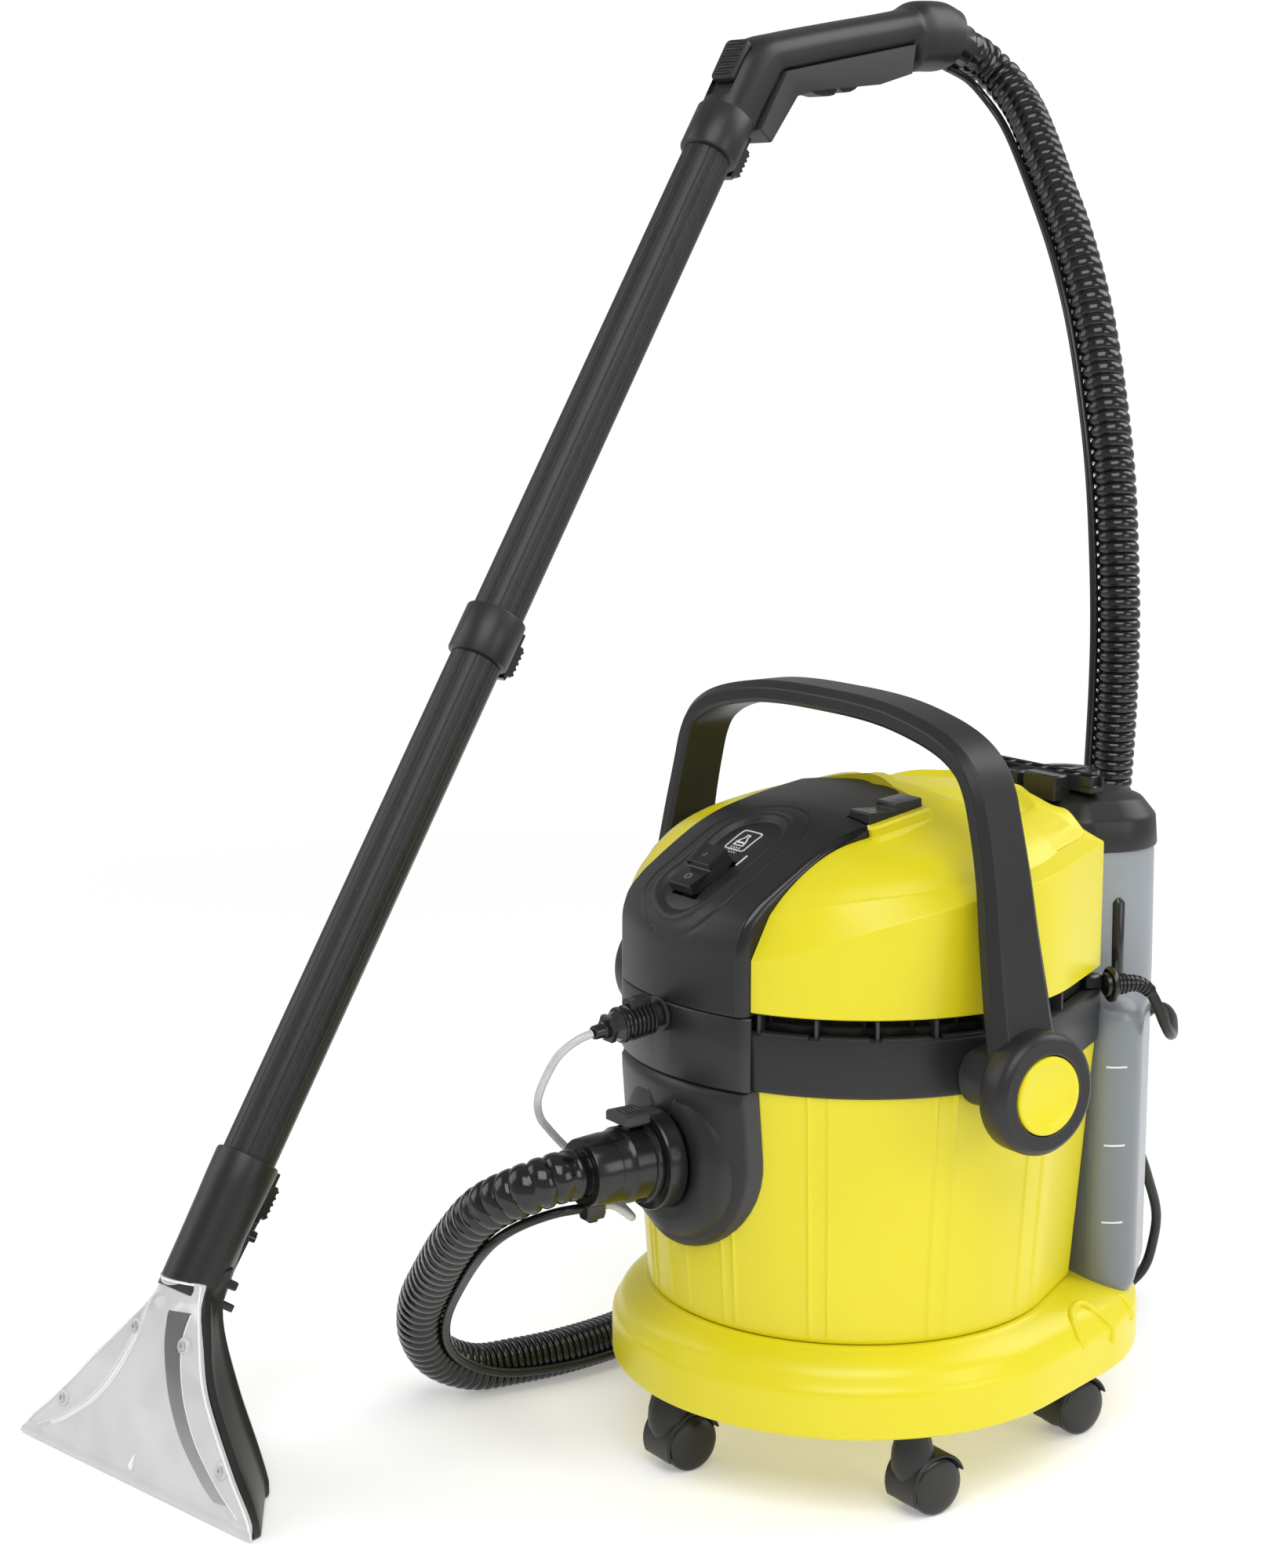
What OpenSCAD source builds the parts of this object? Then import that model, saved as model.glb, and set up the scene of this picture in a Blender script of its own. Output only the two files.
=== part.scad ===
/* [Body] */
// Radius of the head cover's front arc
cover_r = 141; // [137:1:145]
// Radius of the head cover's rear arc
cover_back_r = 113; // [110:1:116]
// Distance of the rear arc's centre behind the machine's axis
back_shift = 58; // [54:1:60]
// Distance of the body's flat back behind the machine's axis
flat_back = 121; // [118:1:122]
// Height of the base ring's lower edge above the floor
ring_low = 53; // [50:1:58]
// Height of the base ring and its shoulder
ring_h = 50; // [48:1:56]
// Radius of the base ring's front arc
ring_r = 151; // [148:1:156]
// Radius of the base ring's rear arc
ring_back_r = 133; // [130:1:137]
// Distance of the base ring's rear arc behind the machine's axis
ring_back_y = 68; // [66:1:73]
// Height of the recovery drum
drum_h = 155; // [150:1:162]
// How far the drum's wall draws in towards its floor
drum_taper = 10; // [6:1:12]
// Height of the black rim band
band_h = 35; // [32:1:38]
// Height of the vent gap under the head cover
vent_h = 12; // [10:1:14]
// Wall of the large mouldings
wall = 3; // [2.6:0.2:3.6]

/* [Console] */
// Half width of the console panel
console_half = 62; // [60:1:64]
// How far the console's middle stands proud of its edges
console_crown = 8; // [6:1:10]
// Depth of the console moulding
console_deep = 10; // [9:1:12]
// Width of the spray rocker
spray_w = 29; // [26:1:32]
// Length of the spray rocker
spray_l = 34; // [30:1:36]
// Width of the power rocker
power_w = 19; // [17:1:20]
// Length of the power rocker
power_l = 41; // [38:1:43]
// Travel of each rocker in degrees
rocker_travel = 14; // [10:1:16]

/* [Handle] */
// Outer face of the handle's hubs, from the machine's axis
hub_face = 195.5; // [193:0.5:198]
// Radius of the handle's hubs
hub_r = 36; // [34:1:38]
// Thickness of the handle's hubs
hub_t = 20; // [18:1:22]
// Radius of the pins that the handle turns on
pin_r = 7; // [6:0.5:9]
// Width of the handle's strap
strap_w = 34; // [30:1:36]
// Thickness of the handle's strap
strap_t = 14; // [12:1:15]
// Top of the handle above the floor
handle_top = 481; // [476:1:490]
// Radius of the round cap in each hub
cap_r = 23; // [20:1:25]

/* [Fresh water tank] */
// Width of the fresh water tank
tank_w = 208; // [200:1:212]
// Gap between the body's flat back and the tank
tank_gap = 1; // [0.6:0.2:3]
// Depth of the fresh water tank
tank_d = 78; // [74:1:80]
// Height of the tank's translucent body
tank_h = 284; // [278:1:288]
// Height of the black cap on the tank
tank_cap_h = 35; // [32:1:38]

/* [Casters] */
// Number of casters
caster_count = 5; // [5]
// Radius of the circle that the casters stand on
caster_circle = 134; // [131:1:135]
// Radius of a caster's wheel discs
wheel_r = 18; // [17:0.5:19]
// How far a caster's axle trails its stem
caster_trail = 10; // [8:1:12]
// Radius of a caster's stem
stem_r = 5; // [4:0.5:6]

/* [Inlet and hose] */
// Height of the suction inlet above the floor
inlet_z = 206; // [203:1:209]
// Radius of the bore in the suction inlet
inlet_r = 19; // [18:0.5:20]
// Outer radius of the suction hose at its ribs
hose_r = 15.5; // [15:0.5:16]
// Radius of the suction hose's bore
hose_bore = 11.5; // [10:0.5:12]
// Number of ribs on the suction hose
hose_ribs = 106; // [100:1:200]
// Radius of the black water line
line_r = 3; // [2.5:0.5:3.5]
// Radius of the clear tube
clear_r = 2.5; // [2:0.25:2.75]
// Height of the water quick connector above the floor
quick_z = 295; // [292:1:297]

/* [Mains lead] */
// Radius of the mains lead
lead_r = 3.5; // [3:0.25:3.75]
// Turns in each layer of the stowed lead
coil_turns = 3.375; // [2.375:1:4.375]
// Layers of the stowed lead
coil_layers = 4; // [2,4]
// Middle radius of the stowed lead
coil_r = 49; // [46:1:56]

/* [Wand] */
// Lean of the wand from upright in degrees
wand_lean = 34.1; // [33:0.1:35]
// Turn of the wand about the upright in degrees
wand_turn = 12; // [10:1:14]
// Radius of the suction tubes
tube_r = 17.5; // [17:0.1:18]
// Wall of the suction tubes
tube_wall = 1.8; // [1.4:0.1:2.4]
// Length of each suction tube that shows
tube_l = 388; // [380:1:396]
// Length of a tube's end inside its socket
socket_deep = 32; // [26:1:36]
// Wall of the tube sockets
socket_wall = 3.4; // [3:0.2:4]
// Width of the nozzle's lip
nozzle_w = 234; // [220:1:240]
// Slope of the nozzle's window from upright in degrees
window_slope = 14; // [12:1:16]
// Thickness of the nozzle's window
window_t = 2.5; // [2:0.25:3]
// Travel of the spray trigger in degrees
trigger_travel = 5; // [3:1:6]
// Travel of the suction slider
slider_travel = 12; // [8:1:13]

/* [Fits] */
// Radial clearance of a turning or sliding fit
run_fit = 0.05; // [0.03:0.01:0.08]
// Gap between neighbouring mouldings
part_gap = 0.35; // [0.3:0.05:0.5]

/* [Hidden] */
$fn = 48;

black = [0.10, 0.10, 0.105];
satin_black = [0.17, 0.17, 0.175];
yellow = [0.93, 0.87, 0.10];
smoke = [0.62, 0.65, 0.68];
clear_plastic = [0.85, 0.88, 0.9];
steel = [0.7, 0.7, 0.72];

// Where the machine's axis stands, so that the whole object's box is centred on the origin
axis_x = 80.915;
axis_y = 35.471;

sides = 48;
eps = 0.01;
drum_low = ring_low + ring_h;
drum_top = drum_low + drum_h;
band_top = drum_top + band_h;
cover_low = band_top + vent_h;
pin_z = cover_low - 36;
pin_y = -15;
band_r = cover_r + 1.5;
tank_front = flat_back + tank_gap;
tank_low = ring_low + 35;
tank_top = tank_low + tank_h;
line_gap = 0.5;

// ---------- general shapes ----------

// Point on the hull of several circles, each [x, y, r], whose outline faces direction a
function hull_point(circles, a, inset) =
    let (reach = [for (c = circles) c.x * cos(a) + c.y * sin(a) + c.z - inset])
    let (best = search(max(reach), reach)[0], c = circles[best])
    [c.x + (c.z - inset) * cos(a), c.y + (c.z - inset) * sin(a)];

// Outline of such a hull, cut off flat at y = flat
function hull_outline(circles, inset, flat, n = sides) =
    [for (i = [0:n - 1])
        let (p = hull_point(circles, 360 * i / n, inset))
        [p.x, min(p.y, flat - inset)]];

function body_outline(inset) =
    hull_outline([[0, 0, cover_r], [0, back_shift, cover_back_r]], inset, flat_back + min(inset, 0));
function ring_circles() = [[0, 0, ring_r], [0, ring_back_y, ring_back_r]];
function lifted(outline, z) = [for (p = outline) [p.x, p.y, z]];
function shrunk(outline, centre, share) = [for (p = outline) centre + (p - centre) * share];
function blended(a, b, w) = [for (i = [0:len(a) - 1]) a[i] * (1 - w) + b[i] * w];

// Closed solid through a stack of rings with equal numbers of points
module skin(rings) {
    count = len(rings[0]);
    last = len(rings) - 1;
    walls = [for (k = [0:last - 1], i = [0:count - 1])
        let (j = (i + 1) % count, a = k * count, b = a + count)
        each [[a + i, b + i, b + j], [a + i, b + j, a + j]]];
    lid = [for (i = [count - 1:-1:0]) last * count + i];
    polyhedron([for (ring = rings) each ring], concat([[for (i = [0:count - 1]) i]], walls, [lid]));
}

// The same for a curved plate: each ring is an outer row and then the inner row in reverse
module plate_skin(rings) {
    count = len(rings[0]);
    last = (len(rings) - 1) * count;
    walls = [for (k = [0:len(rings) - 2], i = [0:count - 1])
        let (j = (i + 1) % count, a = k * count, b = a + count)
        each [[a + i, b + i, b + j], [a + i, b + j, a + j]]];
    ends = [for (i = [0:count / 2 - 2]) let (m = count - 1 - i)
        each [[i, i + 1, m - 1], [i, m - 1, m],
            [last + m, last + m - 1, last + i + 1], [last + m, last + i + 1, last + i]]];
    polyhedron([for (ring = rings) each ring], concat(walls, ends));
}

// Closed solid through a loop of rings, as a tube with a bore
module skin_loop(rings) {
    count = len(rings[0]);
    total = len(rings);
    walls = [for (k = [0:total - 1], i = [0:count - 1])
        let (j = (i + 1) % count, a = k * count, b = ((k + 1) % total) * count)
        each [[a + i, b + i, b + j], [a + i, b + j, a + j]]];
    polyhedron([for (ring = rings) each ring], walls);
}

function unit(v) = v / norm(v);

// Smooth curve through route points, several samples to a span
function spline_point(p, k, t) =
    let (a = p[max(k - 1, 0)], b = p[k], c = p[k + 1], d = p[min(k + 2, len(p) - 1)])
    0.5 * (2 * b + (c - a) * t + (2 * a - 5 * b + 4 * c - d) * t * t
        + (3 * b - a - 3 * c + d) * t * t * t);
function dense(p, m) =
    [for (k = [0:len(p) - 2], i = [0:m - 1]) spline_point(p, k, i / m), p[len(p) - 1]];
function run_lengths(p) =
    [for (i = 0, s = 0; i < len(p); i = i + 1, s = s + (i < len(p) ? norm(p[i] - p[i - 1]) : 0)) s];
function picked(s, values, q) = lookup(q, [for (i = [0:len(s) - 1]) [s[i], values[i]]]);

// Points at the given distances along a route
function at_distances(route, distances) =
    let (d = dense(route, 8), s = run_lengths(d))
    [for (q = distances) [picked(s, d * [1, 0, 0], q), picked(s, d * [0, 1, 0], q), picked(s, d * [0, 0, 1], q)]];
function route_length(route) = let (s = run_lengths(dense(route, 8))) s[len(s) - 1];
function tangent(p, i) = unit(p[min(i + 1, len(p) - 1)] - p[max(i - 1, 0)]);
function across(v, t) = unit(v - (v * t) * t);

// One sideways direction at each point, carried along without twist
function carried(p, first) =
    [for (i = 0, v = across(first, tangent(p, 0)); i < len(p);
        i = i + 1, v = i < len(p) ? across(v, tangent(p, i)) : v) v];

// Rings of n points round a run of points
function tube_rings(p, radii, n, first) =
    let (v = carried(p, first))
    [for (i = [0:len(p) - 1])
        let (w = cross(tangent(p, i), v[i]))
        [for (j = [0:n - 1]) p[i] + radii[i] * (cos(360 * j / n) * v[i] + sin(360 * j / n) * w)]];

// ---------- base, drum and casters ----------

function base_level(w, inset, z) =
    lifted(blended(hull_outline(ring_circles(), inset, 1000), body_outline(drum_taper + 2), w), z);

first_caster = -94;
function caster_angle(i) = first_caster + (i - 1) * 360 / caster_count;
module at_caster(i) {
    translate([caster_circle * cos(caster_angle(i)), caster_circle * sin(caster_angle(i)), 0])
        children();
}

module machine() {
    translate([axis_x, axis_y, 0]) children();
}

stem_top = ring_low + 26;
cavity_top = ring_low + 30;

module tank_plan(inset, grow = 0) {
    polygon(hull_outline(tank_circles(1), inset - grow, 1000, 40));
}

module base_ring() {
    color(yellow) machine() {
        difference() {
            skin([base_level(0, 2, ring_low), base_level(0, 0, ring_low + 4), base_level(0, 0, ring_low + 24),
                base_level(0, 3, ring_low + 32), base_level(0.12, 4, ring_low + 38),
                base_level(0.35, 4, ring_low + 43), base_level(0.7, 2, ring_low + 47.5),
                base_level(1, 0, drum_low)]);
            difference() {
                skin([base_level(0, 5, ring_low - 1), base_level(0, 6, cavity_top)]);
                for (i = [1:caster_count]) at_caster(i)
                    translate([0, 0, ring_low - 2]) cylinder(r = stem_r + 5, h = cavity_top);
            }
            for (i = [1:caster_count]) at_caster(i)
                translate([0, 0, ring_low - 1]) cylinder(r = stem_r + run_fit, h = stem_top - ring_low + 1.5);
            translate([0, 20, cavity_top - 1]) cylinder(r = 98, h = drum_low - wall - cavity_top + 1);
            translate([0, 0, tank_low]) linear_extrude(height = 60) tank_plan(0, part_gap);
        }
    }
}

module drum() {
    color(yellow) machine() difference() {
        skin([lifted(body_outline(drum_taper + 6), drum_low), lifted(body_outline(drum_taper + 3), drum_low + 4),
            lifted(body_outline(2), drum_top)]);
        skin([lifted(body_outline(drum_taper + 3 + wall), drum_low + wall),
            lifted(body_outline(2 + wall), drum_top + eps)]);
        translate([0, -cover_r + 40, inlet_z]) rotate([90, 0, 0]) cylinder(r = inlet_r + 3 + part_gap, h = 80);
    }
}

fork_half = 14;
disc_gap = 3.6;
neck_r = 9;
axle_r = 3;

module caster_fork(i) {
    color(satin_black) machine() at_caster(i) {
        difference() {
            union() {
                intersection() {
                    translate([-fork_half, caster_trail, wheel_r]) rotate([0, 90, 0])
                        cylinder(r = wheel_r + 2.5, h = 2 * fork_half);
                    translate([-fork_half, caster_trail - wheel_r - 4, wheel_r - 8])
                        cube([2 * fork_half, 2 * wheel_r - 2, wheel_r + 12]);
                }
                translate([0, 0, wheel_r + 6]) cylinder(r = neck_r, h = ring_low - wheel_r - 6);
            }
            for (side = [-1, 1])
                translate([side > 0 ? disc_gap : -disc_gap - 2 * fork_half, caster_trail, wheel_r])
                    rotate([0, 90, 0]) cylinder(r = wheel_r + 0.6, h = 2 * fork_half);
            translate([-fork_half, caster_trail, wheel_r]) rotate([0, 90, 0])
                cylinder(r = axle_r + run_fit, h = 2 * fork_half);
        }
        translate([0, 0, ring_low - eps]) cylinder(r = stem_r, h = stem_top - ring_low);
    }
}

module caster_wheel(i) {
    color(black) machine() at_caster(i) translate([0, caster_trail, wheel_r]) rotate([0, 90, 0]) {
        for (side = [0, 1]) mirror([0, 0, side]) translate([0, 0, disc_gap + 0.5]) rotate_extrude()
            polygon([[0, 0], [wheel_r - 1, 0], [wheel_r, 1], [wheel_r, 7.4], [wheel_r - 1.6, 9],
                [wheel_r - 5, 9], [wheel_r - 7, 7], [5, 7], [4, 8.4], [0, 8.4]]);
        translate([0, 0, -disc_gap - 1]) cylinder(r = axle_r, h = 2 * disc_gap + 2);
    }
}

// ---------- inlet, band and head ----------

housing_half = 66;
housing_round_z = 215;
housing_low = 149;
function drum_r_at(z) = cover_r - 2 - (drum_taper + 1) * (drum_top - z) / drum_h;
function housing_half_at(z) = z >= housing_round_z ? housing_half
    : housing_half * sqrt(max(0.02, 1 - pow((housing_round_z - z) / (housing_round_z - housing_low + 2), 2)));
function arc_y(r, x) = -sqrt(r * r - x * x);
function housing_level(z, skin_t) =
    let (h = housing_half_at(z), r = drum_r_at(z) + part_gap + 0.2, n = 12)
    concat([for (i = [0:n]) let (x = -h + 2 * h * i / n) [x, arc_y(r + skin_t - (abs(i - n / 2) == n / 2 ? 3 : 0), x), z]],
        [for (i = [n:-1:0]) let (x = -h + 2 * h * i / n) [x, arc_y(r, x), z]]);

boss_face = cover_r + 5;

module inlet_housing() {
    color(satin_black) machine() difference() {
        union() {
            plate_skin([for (z = [housing_low, 151, 155, 161, 170, 182, 198, 215, 235, 250, drum_top - 1]) housing_level(z, 8)]);
            translate([0, -cover_r + 2.6, inlet_z]) rotate([90, 0, 0]) {
                cylinder(r = 40, h = boss_face - cover_r);
                translate([0, 0, boss_face - cover_r - eps]) cylinder(r1 = 40, r2 = 31, h = 3);
            }
            translate([0, -cover_r + 26, inlet_z]) rotate([90, 0, 0]) cylinder(r = inlet_r + 3, h = 24);
        }
        translate([0, -cover_r + 40, inlet_z]) rotate([90, 0, 0]) cylinder(r = inlet_r + run_fit, h = 60);
    }
}

boss_r = 18;
boss_end = hub_face - hub_t - 0.5;
pin_end = hub_face - 5;

module rim_band() {
    color(satin_black) machine() {
        difference() {
            skin([lifted(body_outline(0), drum_top), lifted(body_outline(-0.5), drum_top + 3),
                lifted(body_outline(-1.5), band_top)]);
            skin([lifted(body_outline(2 + wall + 2), drum_top - 1), lifted(body_outline(2 + wall + 2), band_top + 1)]);
        }
        for (side = [0, 1]) mirror([side, 0, 0]) translate([0, pin_y, pin_z]) rotate([0, 90, 0]) {
            translate([0, 0, cover_r - 1]) cylinder(r = boss_r, h = boss_end - cover_r + 1);
            translate([0, 0, boss_end - 1]) cylinder(r = pin_r, h = pin_end - boss_end + 1);
        }
    }
}

// Rise of the cover's lower and upper crease round the body, against direction
low_crease = [[-90, 30], [-63, 32], [-49, 42], [-28, 58], [-7, 68], [20, 75], [55, 84], [90, 88]];
rear_share = [[-90, 0], [-63, 0], [-43, 0.2], [-20, 0.34], [-4, 0.4], [20, 0.5], [55, 0.8], [90, 1]];
// Dome rings: share of the outline, rise at the front, rise at the rear
dome = [[0.92, 57, 103], [0.86, 67, 110], [0.77, 78, 113], [0.67, 87, 114], [0.58, 93, 115], [0.51, 97, 116],
    [0.42, 103, 117], [0.25, 110, 118], [0.08, 116, 118.5]];
function facing(i) = let (a = 360 * i / sides) a > 270 ? a - 360 : a > 90 ? 180 - a : a;
function crease_level(inset, drop) = let (o = body_outline(inset))
    [for (i = [0:sides - 1]) [o[i].x, o[i].y, cover_low + lookup(facing(i), low_crease) - drop]];
function dome_level(step, inset, drop) = let (o = shrunk(body_outline(inset), [0, 10], step[0]))
    [for (i = [0:sides - 1])
        [o[i].x, o[i].y, cover_low - drop + step[1] + (step[2] - step[1]) * lookup(facing(i), rear_share)]];

module head_cover() {
    color(yellow) machine() difference() {
        skin(concat([lifted(body_outline(0), cover_low), crease_level(0, 0)],
            [for (step = dome) dome_level(step, 0, 0)]));
        skin(concat([lifted(body_outline(wall), cover_low - 1), crease_level(wall, wall)],
            [for (step = dome) dome_level(step, wall, wall)]));
        console_block(part_gap, 16, 24);
        at_power() rocker_pocket(power_w, power_l);
    }
}

// Console stations: distance behind the cover's front, rise, crown at the middle, rearward bow
console_path = [[14.6, -2, 18.6, 0], [14.6, 34, 18.4, 0], [16.7, 46, 17, 0], [25.3, 57.5, 14, 0],
    [36, 67, console_crown + 2, 0], [51.4, 77.7, console_crown, 0], [69, 87.2, console_crown, 0],
    [85, 93, console_crown, 0], [101, 97, console_crown, 0], [121, 101.3, console_crown - 1, 2],
    [144.4, 105.4, console_crown - 2.5, 14]];
function console_point(k) = [console_path[k][0] - cover_r, cover_low + console_path[k][1]];
function console_normal(k) =
    let (d = unit(console_point(min(k + 1, len(console_path) - 1)) - console_point(max(k - 1, 0)))) [-d.y, d.x];
// Shares of the half width where the console's sections have their points
console_row = [-1, -0.935, -0.72, -0.48, -0.24, 0, 0.24, 0.48, 0.72, 0.935, 1];
function crown_share(u) = u > 0.935 ? 0.45 * (1 - u) / 0.065 : 0.45 + 0.55 * (1 - pow(u / 0.935, 2));
function console_ring(k, grow, deep, raise) =
    let (p = console_point(k), n = console_normal(k), along = [n.y, -n.x], half = console_half + grow)
    concat(
        [for (u = console_row) let (q = p + n * (console_path[k][2] * crown_share(abs(u)) + raise)
            + along * ((console_path[k][3] + (k == len(console_path) - 1 ? grow : 0)) * (1 - u * u)
            + (k == len(console_path) - 1 ? grow : 0))) [u * half, q.x, q.y]],
        [for (i = [len(console_row) - 1:-1:0]) let (u = console_row[i], q = p - n * deep
            + along * ((console_path[k][3] + (k == len(console_path) - 1 ? grow : 0)) * (1 - u * u)
            + (k == len(console_path) - 1 ? grow : 0))) [u * half, q.x, q.y]]);
module console_block(grow, deep, raise) {
    plate_skin([for (k = [0:len(console_path) - 1])
        [for (q = console_ring(k, grow, deep, raise)) k == 0 && grow > 0 ? [q.x, q.y, q.z - 2] : q]]);
}

spray_y = -117;
spray_z = cover_low + 71;
spray_slope = 38;
power_x = 50;
power_y = -17;
power_z = cover_low + 100;
power_slope = 10;
rocker_h = 9;
rocker_pin_r = 2;

module at_spray() { translate([0, spray_y, spray_z]) rotate([spray_slope, 0, 0]) children(); }
module at_power() { translate([power_x, power_y, power_z]) rotate([power_slope, 0, 0]) children(); }

module rocker_pocket(w, l) {
    translate([-w / 2 - 0.4, -l / 2 - 1.4, -rocker_h + 1]) cube([w + 0.8, l + 2.8, 40]);
    translate([-w / 2 - 3, 0, 0]) rotate([0, 90, 0]) cylinder(r = rocker_pin_r + run_fit, h = w + 6);
}

module rocker(w, l) {
    rotate([-rocker_travel / 2, 0, 0]) {
        translate([-w / 2, 0, 0]) rotate([90, 0, 90]) linear_extrude(height = w)
            polygon([[-l / 2, -1], [-l / 2, 7], [0, 4.5], [l / 2, 7], [l / 2, -1], [l / 5, -4.5], [-l / 5, -4.5]]);
        translate([-w / 2 - 2, 0, 0]) rotate([0, 90, 0]) cylinder(r = rocker_pin_r, h = w + 4);
    }
}

module console_panel() {
    color(satin_black) machine() difference() {
        console_block(0, console_deep, 0);
        at_spray() rocker_pocket(spray_w, spray_l);
        at_power() rocker_pocket(power_w, power_l);
        at_spray() translate([0, 8, -2]) cylinder(r = 37, h = 30);
        at_spray() switch_hole(18, 24);
        at_power() translate([-4, 0, 0]) switch_hole(14, 26);
    }
}

module spray_rocker() { color(black) machine() at_spray() rocker(spray_w, spray_l); }
module power_rocker() { color(black) machine() at_power() rocker(power_w, power_l); }

module switch_body(w, l) {
    translate([-w / 2, -l / 2, -rocker_h - 22]) cube([w, l, 20.6]);
}
module switch_hole(w, l) {
    translate([-w / 2 - part_gap, -l / 2 - part_gap, -rocker_h - 30]) cube([w + 2 * part_gap, l + 2 * part_gap, 34]);
}
module spray_switch() { color(black) machine() at_spray() switch_body(18, 24); }
module power_switch() { color(black) machine() at_power() translate([-4, 0, 0]) switch_body(14, 26); }

mid_low = drum_top - 0.5;
mid_top = cover_low - 2.5;
mid_t = 3.2;
function mid_ring(z) = let (n = 16, a = asin(housing_half / (band_r + 4)))
    concat([for (i = [0:n]) let (q = -a + 2 * a * i / n) [(band_r + part_gap + mid_t) * sin(q), -(band_r + part_gap + mid_t) * cos(q), z]],
        [for (i = [n:-1:0]) let (q = -a + 2 * a * i / n) [(band_r + part_gap) * sin(q), -(band_r + part_gap) * cos(q), z]]);

module at_quick() { translate([0, -band_r - mid_t - part_gap, quick_z]) rotate([96, 0, 0]) children(); }

module console_mid() {
    color(satin_black) machine() difference() {
        plate_skin([mid_ring(mid_low), mid_ring(mid_top)]);
        at_quick() translate([0, 0, -8]) cylinder(r = 7.5 + part_gap, h = 12);
    }
}

module quick_socket() {
    color(black) machine() at_quick() difference() {
        union() {
            translate([0, 0, 1.3]) cylinder(r = 11, h = 2.4);
            translate([0, 0, -2.4]) cylinder(r = 7.5, h = 10.4);
        }
        translate([0, 0, -6]) cylinder(r = 5 + run_fit, h = 20);
    }
}

module quick_connector() {
    color(black) machine() at_quick() difference() {
        union() {
            translate([0, 0, -2.4]) cylinder(r = 5, h = 13);
            translate([0, 0, 8.4]) rotate_extrude() polygon(concat([[0, 0], [9.5, 0]],
                [for (k = [0:5]) each [[9.5, 1 + 3 * k], [11, 1.6 + 3 * k], [11, 3 + 3 * k], [9.5, 3.6 + 3 * k]]],
                [[9, 20], [11, 20.5], [11, 23], [8, 29], [8, 31], [5.5, 33.5], [5.5, 36], [4, 36.4], [4, 41], [0, 41]]));
            translate([-5, 5, 10]) cube([10, 9, 14]);
        }
        translate([0, 0, -4]) cylinder(r = 1.6, h = 60);
    }
}

motor_y = 30;
plate_t = 6;
can_r = 50;
can_low = band_top + plate_t;
can_h = 76;
shaft_r = 6;

module motor_plate() {
    color(black) machine() difference() {
        union() {
            skin([lifted(body_outline(8), band_top), lifted(body_outline(8), can_low)]);
            skin([lifted(body_outline(12), can_low - eps), lifted(body_outline(12), cover_low - part_gap)]);
            intersection() {
                for (a = [-180:12:168]) rotate([0, 0, a]) translate([cover_r - 16, -0.8, can_low - 1])
                    cube([8, 1.6, cover_low - can_low + 1 - part_gap]);
                skin([lifted(body_outline(5), can_low - 2), lifted(body_outline(5), cover_low)]);
            }
        }
        console_block(part_gap, console_deep + 4, 20);
        skin([lifted(body_outline(15), can_low), lifted(body_outline(15), cover_low + 1)]);
        translate([0, motor_y, band_top - 1]) cylinder(r = shaft_r + 2, h = 20);
        translate([0, cage_y, band_top - 1]) cylinder(r = 10, h = 20);
    }
}

module motor_can() {
    color(steel) machine() translate([0, motor_y, can_low]) difference() {
        cylinder(r = can_r, h = can_h);
        translate([0, 0, 4]) cylinder(r = can_r - wall, h = can_h - 8);
        translate([0, 0, -1]) cylinder(r = shaft_r + run_fit, h = can_h + 2);
        for (a = [0:60:300]) rotate([0, 0, a]) translate([can_r - 10, 0, 14]) rotate([0, 90, 0])
            cylinder(r = 5, h = 20);
    }
}

module motor_rotor() {
    color(steel) machine() translate([0, motor_y, can_low]) {
        translate([0, 0, 0.5]) cylinder(r = shaft_r, h = can_h);
        translate([0, 0, 8]) cylinder(r = can_r - wall - 3, h = 8);
        translate([0, 0, 30]) cylinder(r = 24, h = 34);
    }
}

module water_pump() {
    color(steel) machine() translate([-88, 45, can_low]) {
        translate([-16, -22, 0]) cube([32, 44, 26]);
        translate([0, 0, 26 - eps]) cylinder(r = 15, h = 22);
        translate([0, 0, 40]) rotate([90, 0, 0]) cylinder(r = 4, h = 24);
    }
}

cage_y = -50;
ball_r = 12;
ball_travel = 30;
cage_h = 2 * ball_r + ball_travel + 5;

module float_cage() {
    color(yellow) machine() translate([0, cage_y, band_top - cage_h]) difference() {
        cylinder(r = ball_r + 4, h = cage_h);
        translate([0, 0, 2]) cylinder(r = ball_r + 0.1, h = cage_h);
        for (a = [0:60:300]) rotate([0, 0, a]) translate([0, -3, 6]) cube([ball_r + 8, 6, cage_h - 14]);
        translate([0, 0, -1]) cylinder(r = 7, h = 5);
    }
}

module float_ball() {
    color(clear_plastic) machine() translate([0, cage_y, band_top - cage_h + 2.1 + ball_r]) sphere(r = ball_r);
}

module drum_seal() {
    color(black) machine() difference() {
        skin([lifted(body_outline(2 + wall + 0.4), drum_top - 4), lifted(body_outline(2 + wall + 0.4), drum_top - 0.3)]);
        skin([lifted(body_outline(2 + wall + 5), drum_top - 5), lifted(body_outline(2 + wall + 5), drum_top + 1)]);
    }
}

// ---------- hose coupling ----------

coupling_end = cover_r + 63;

module at_inlet() { translate([0, -boss_face, inlet_z]) rotate([90, 0, 0]) children(); }

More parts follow.
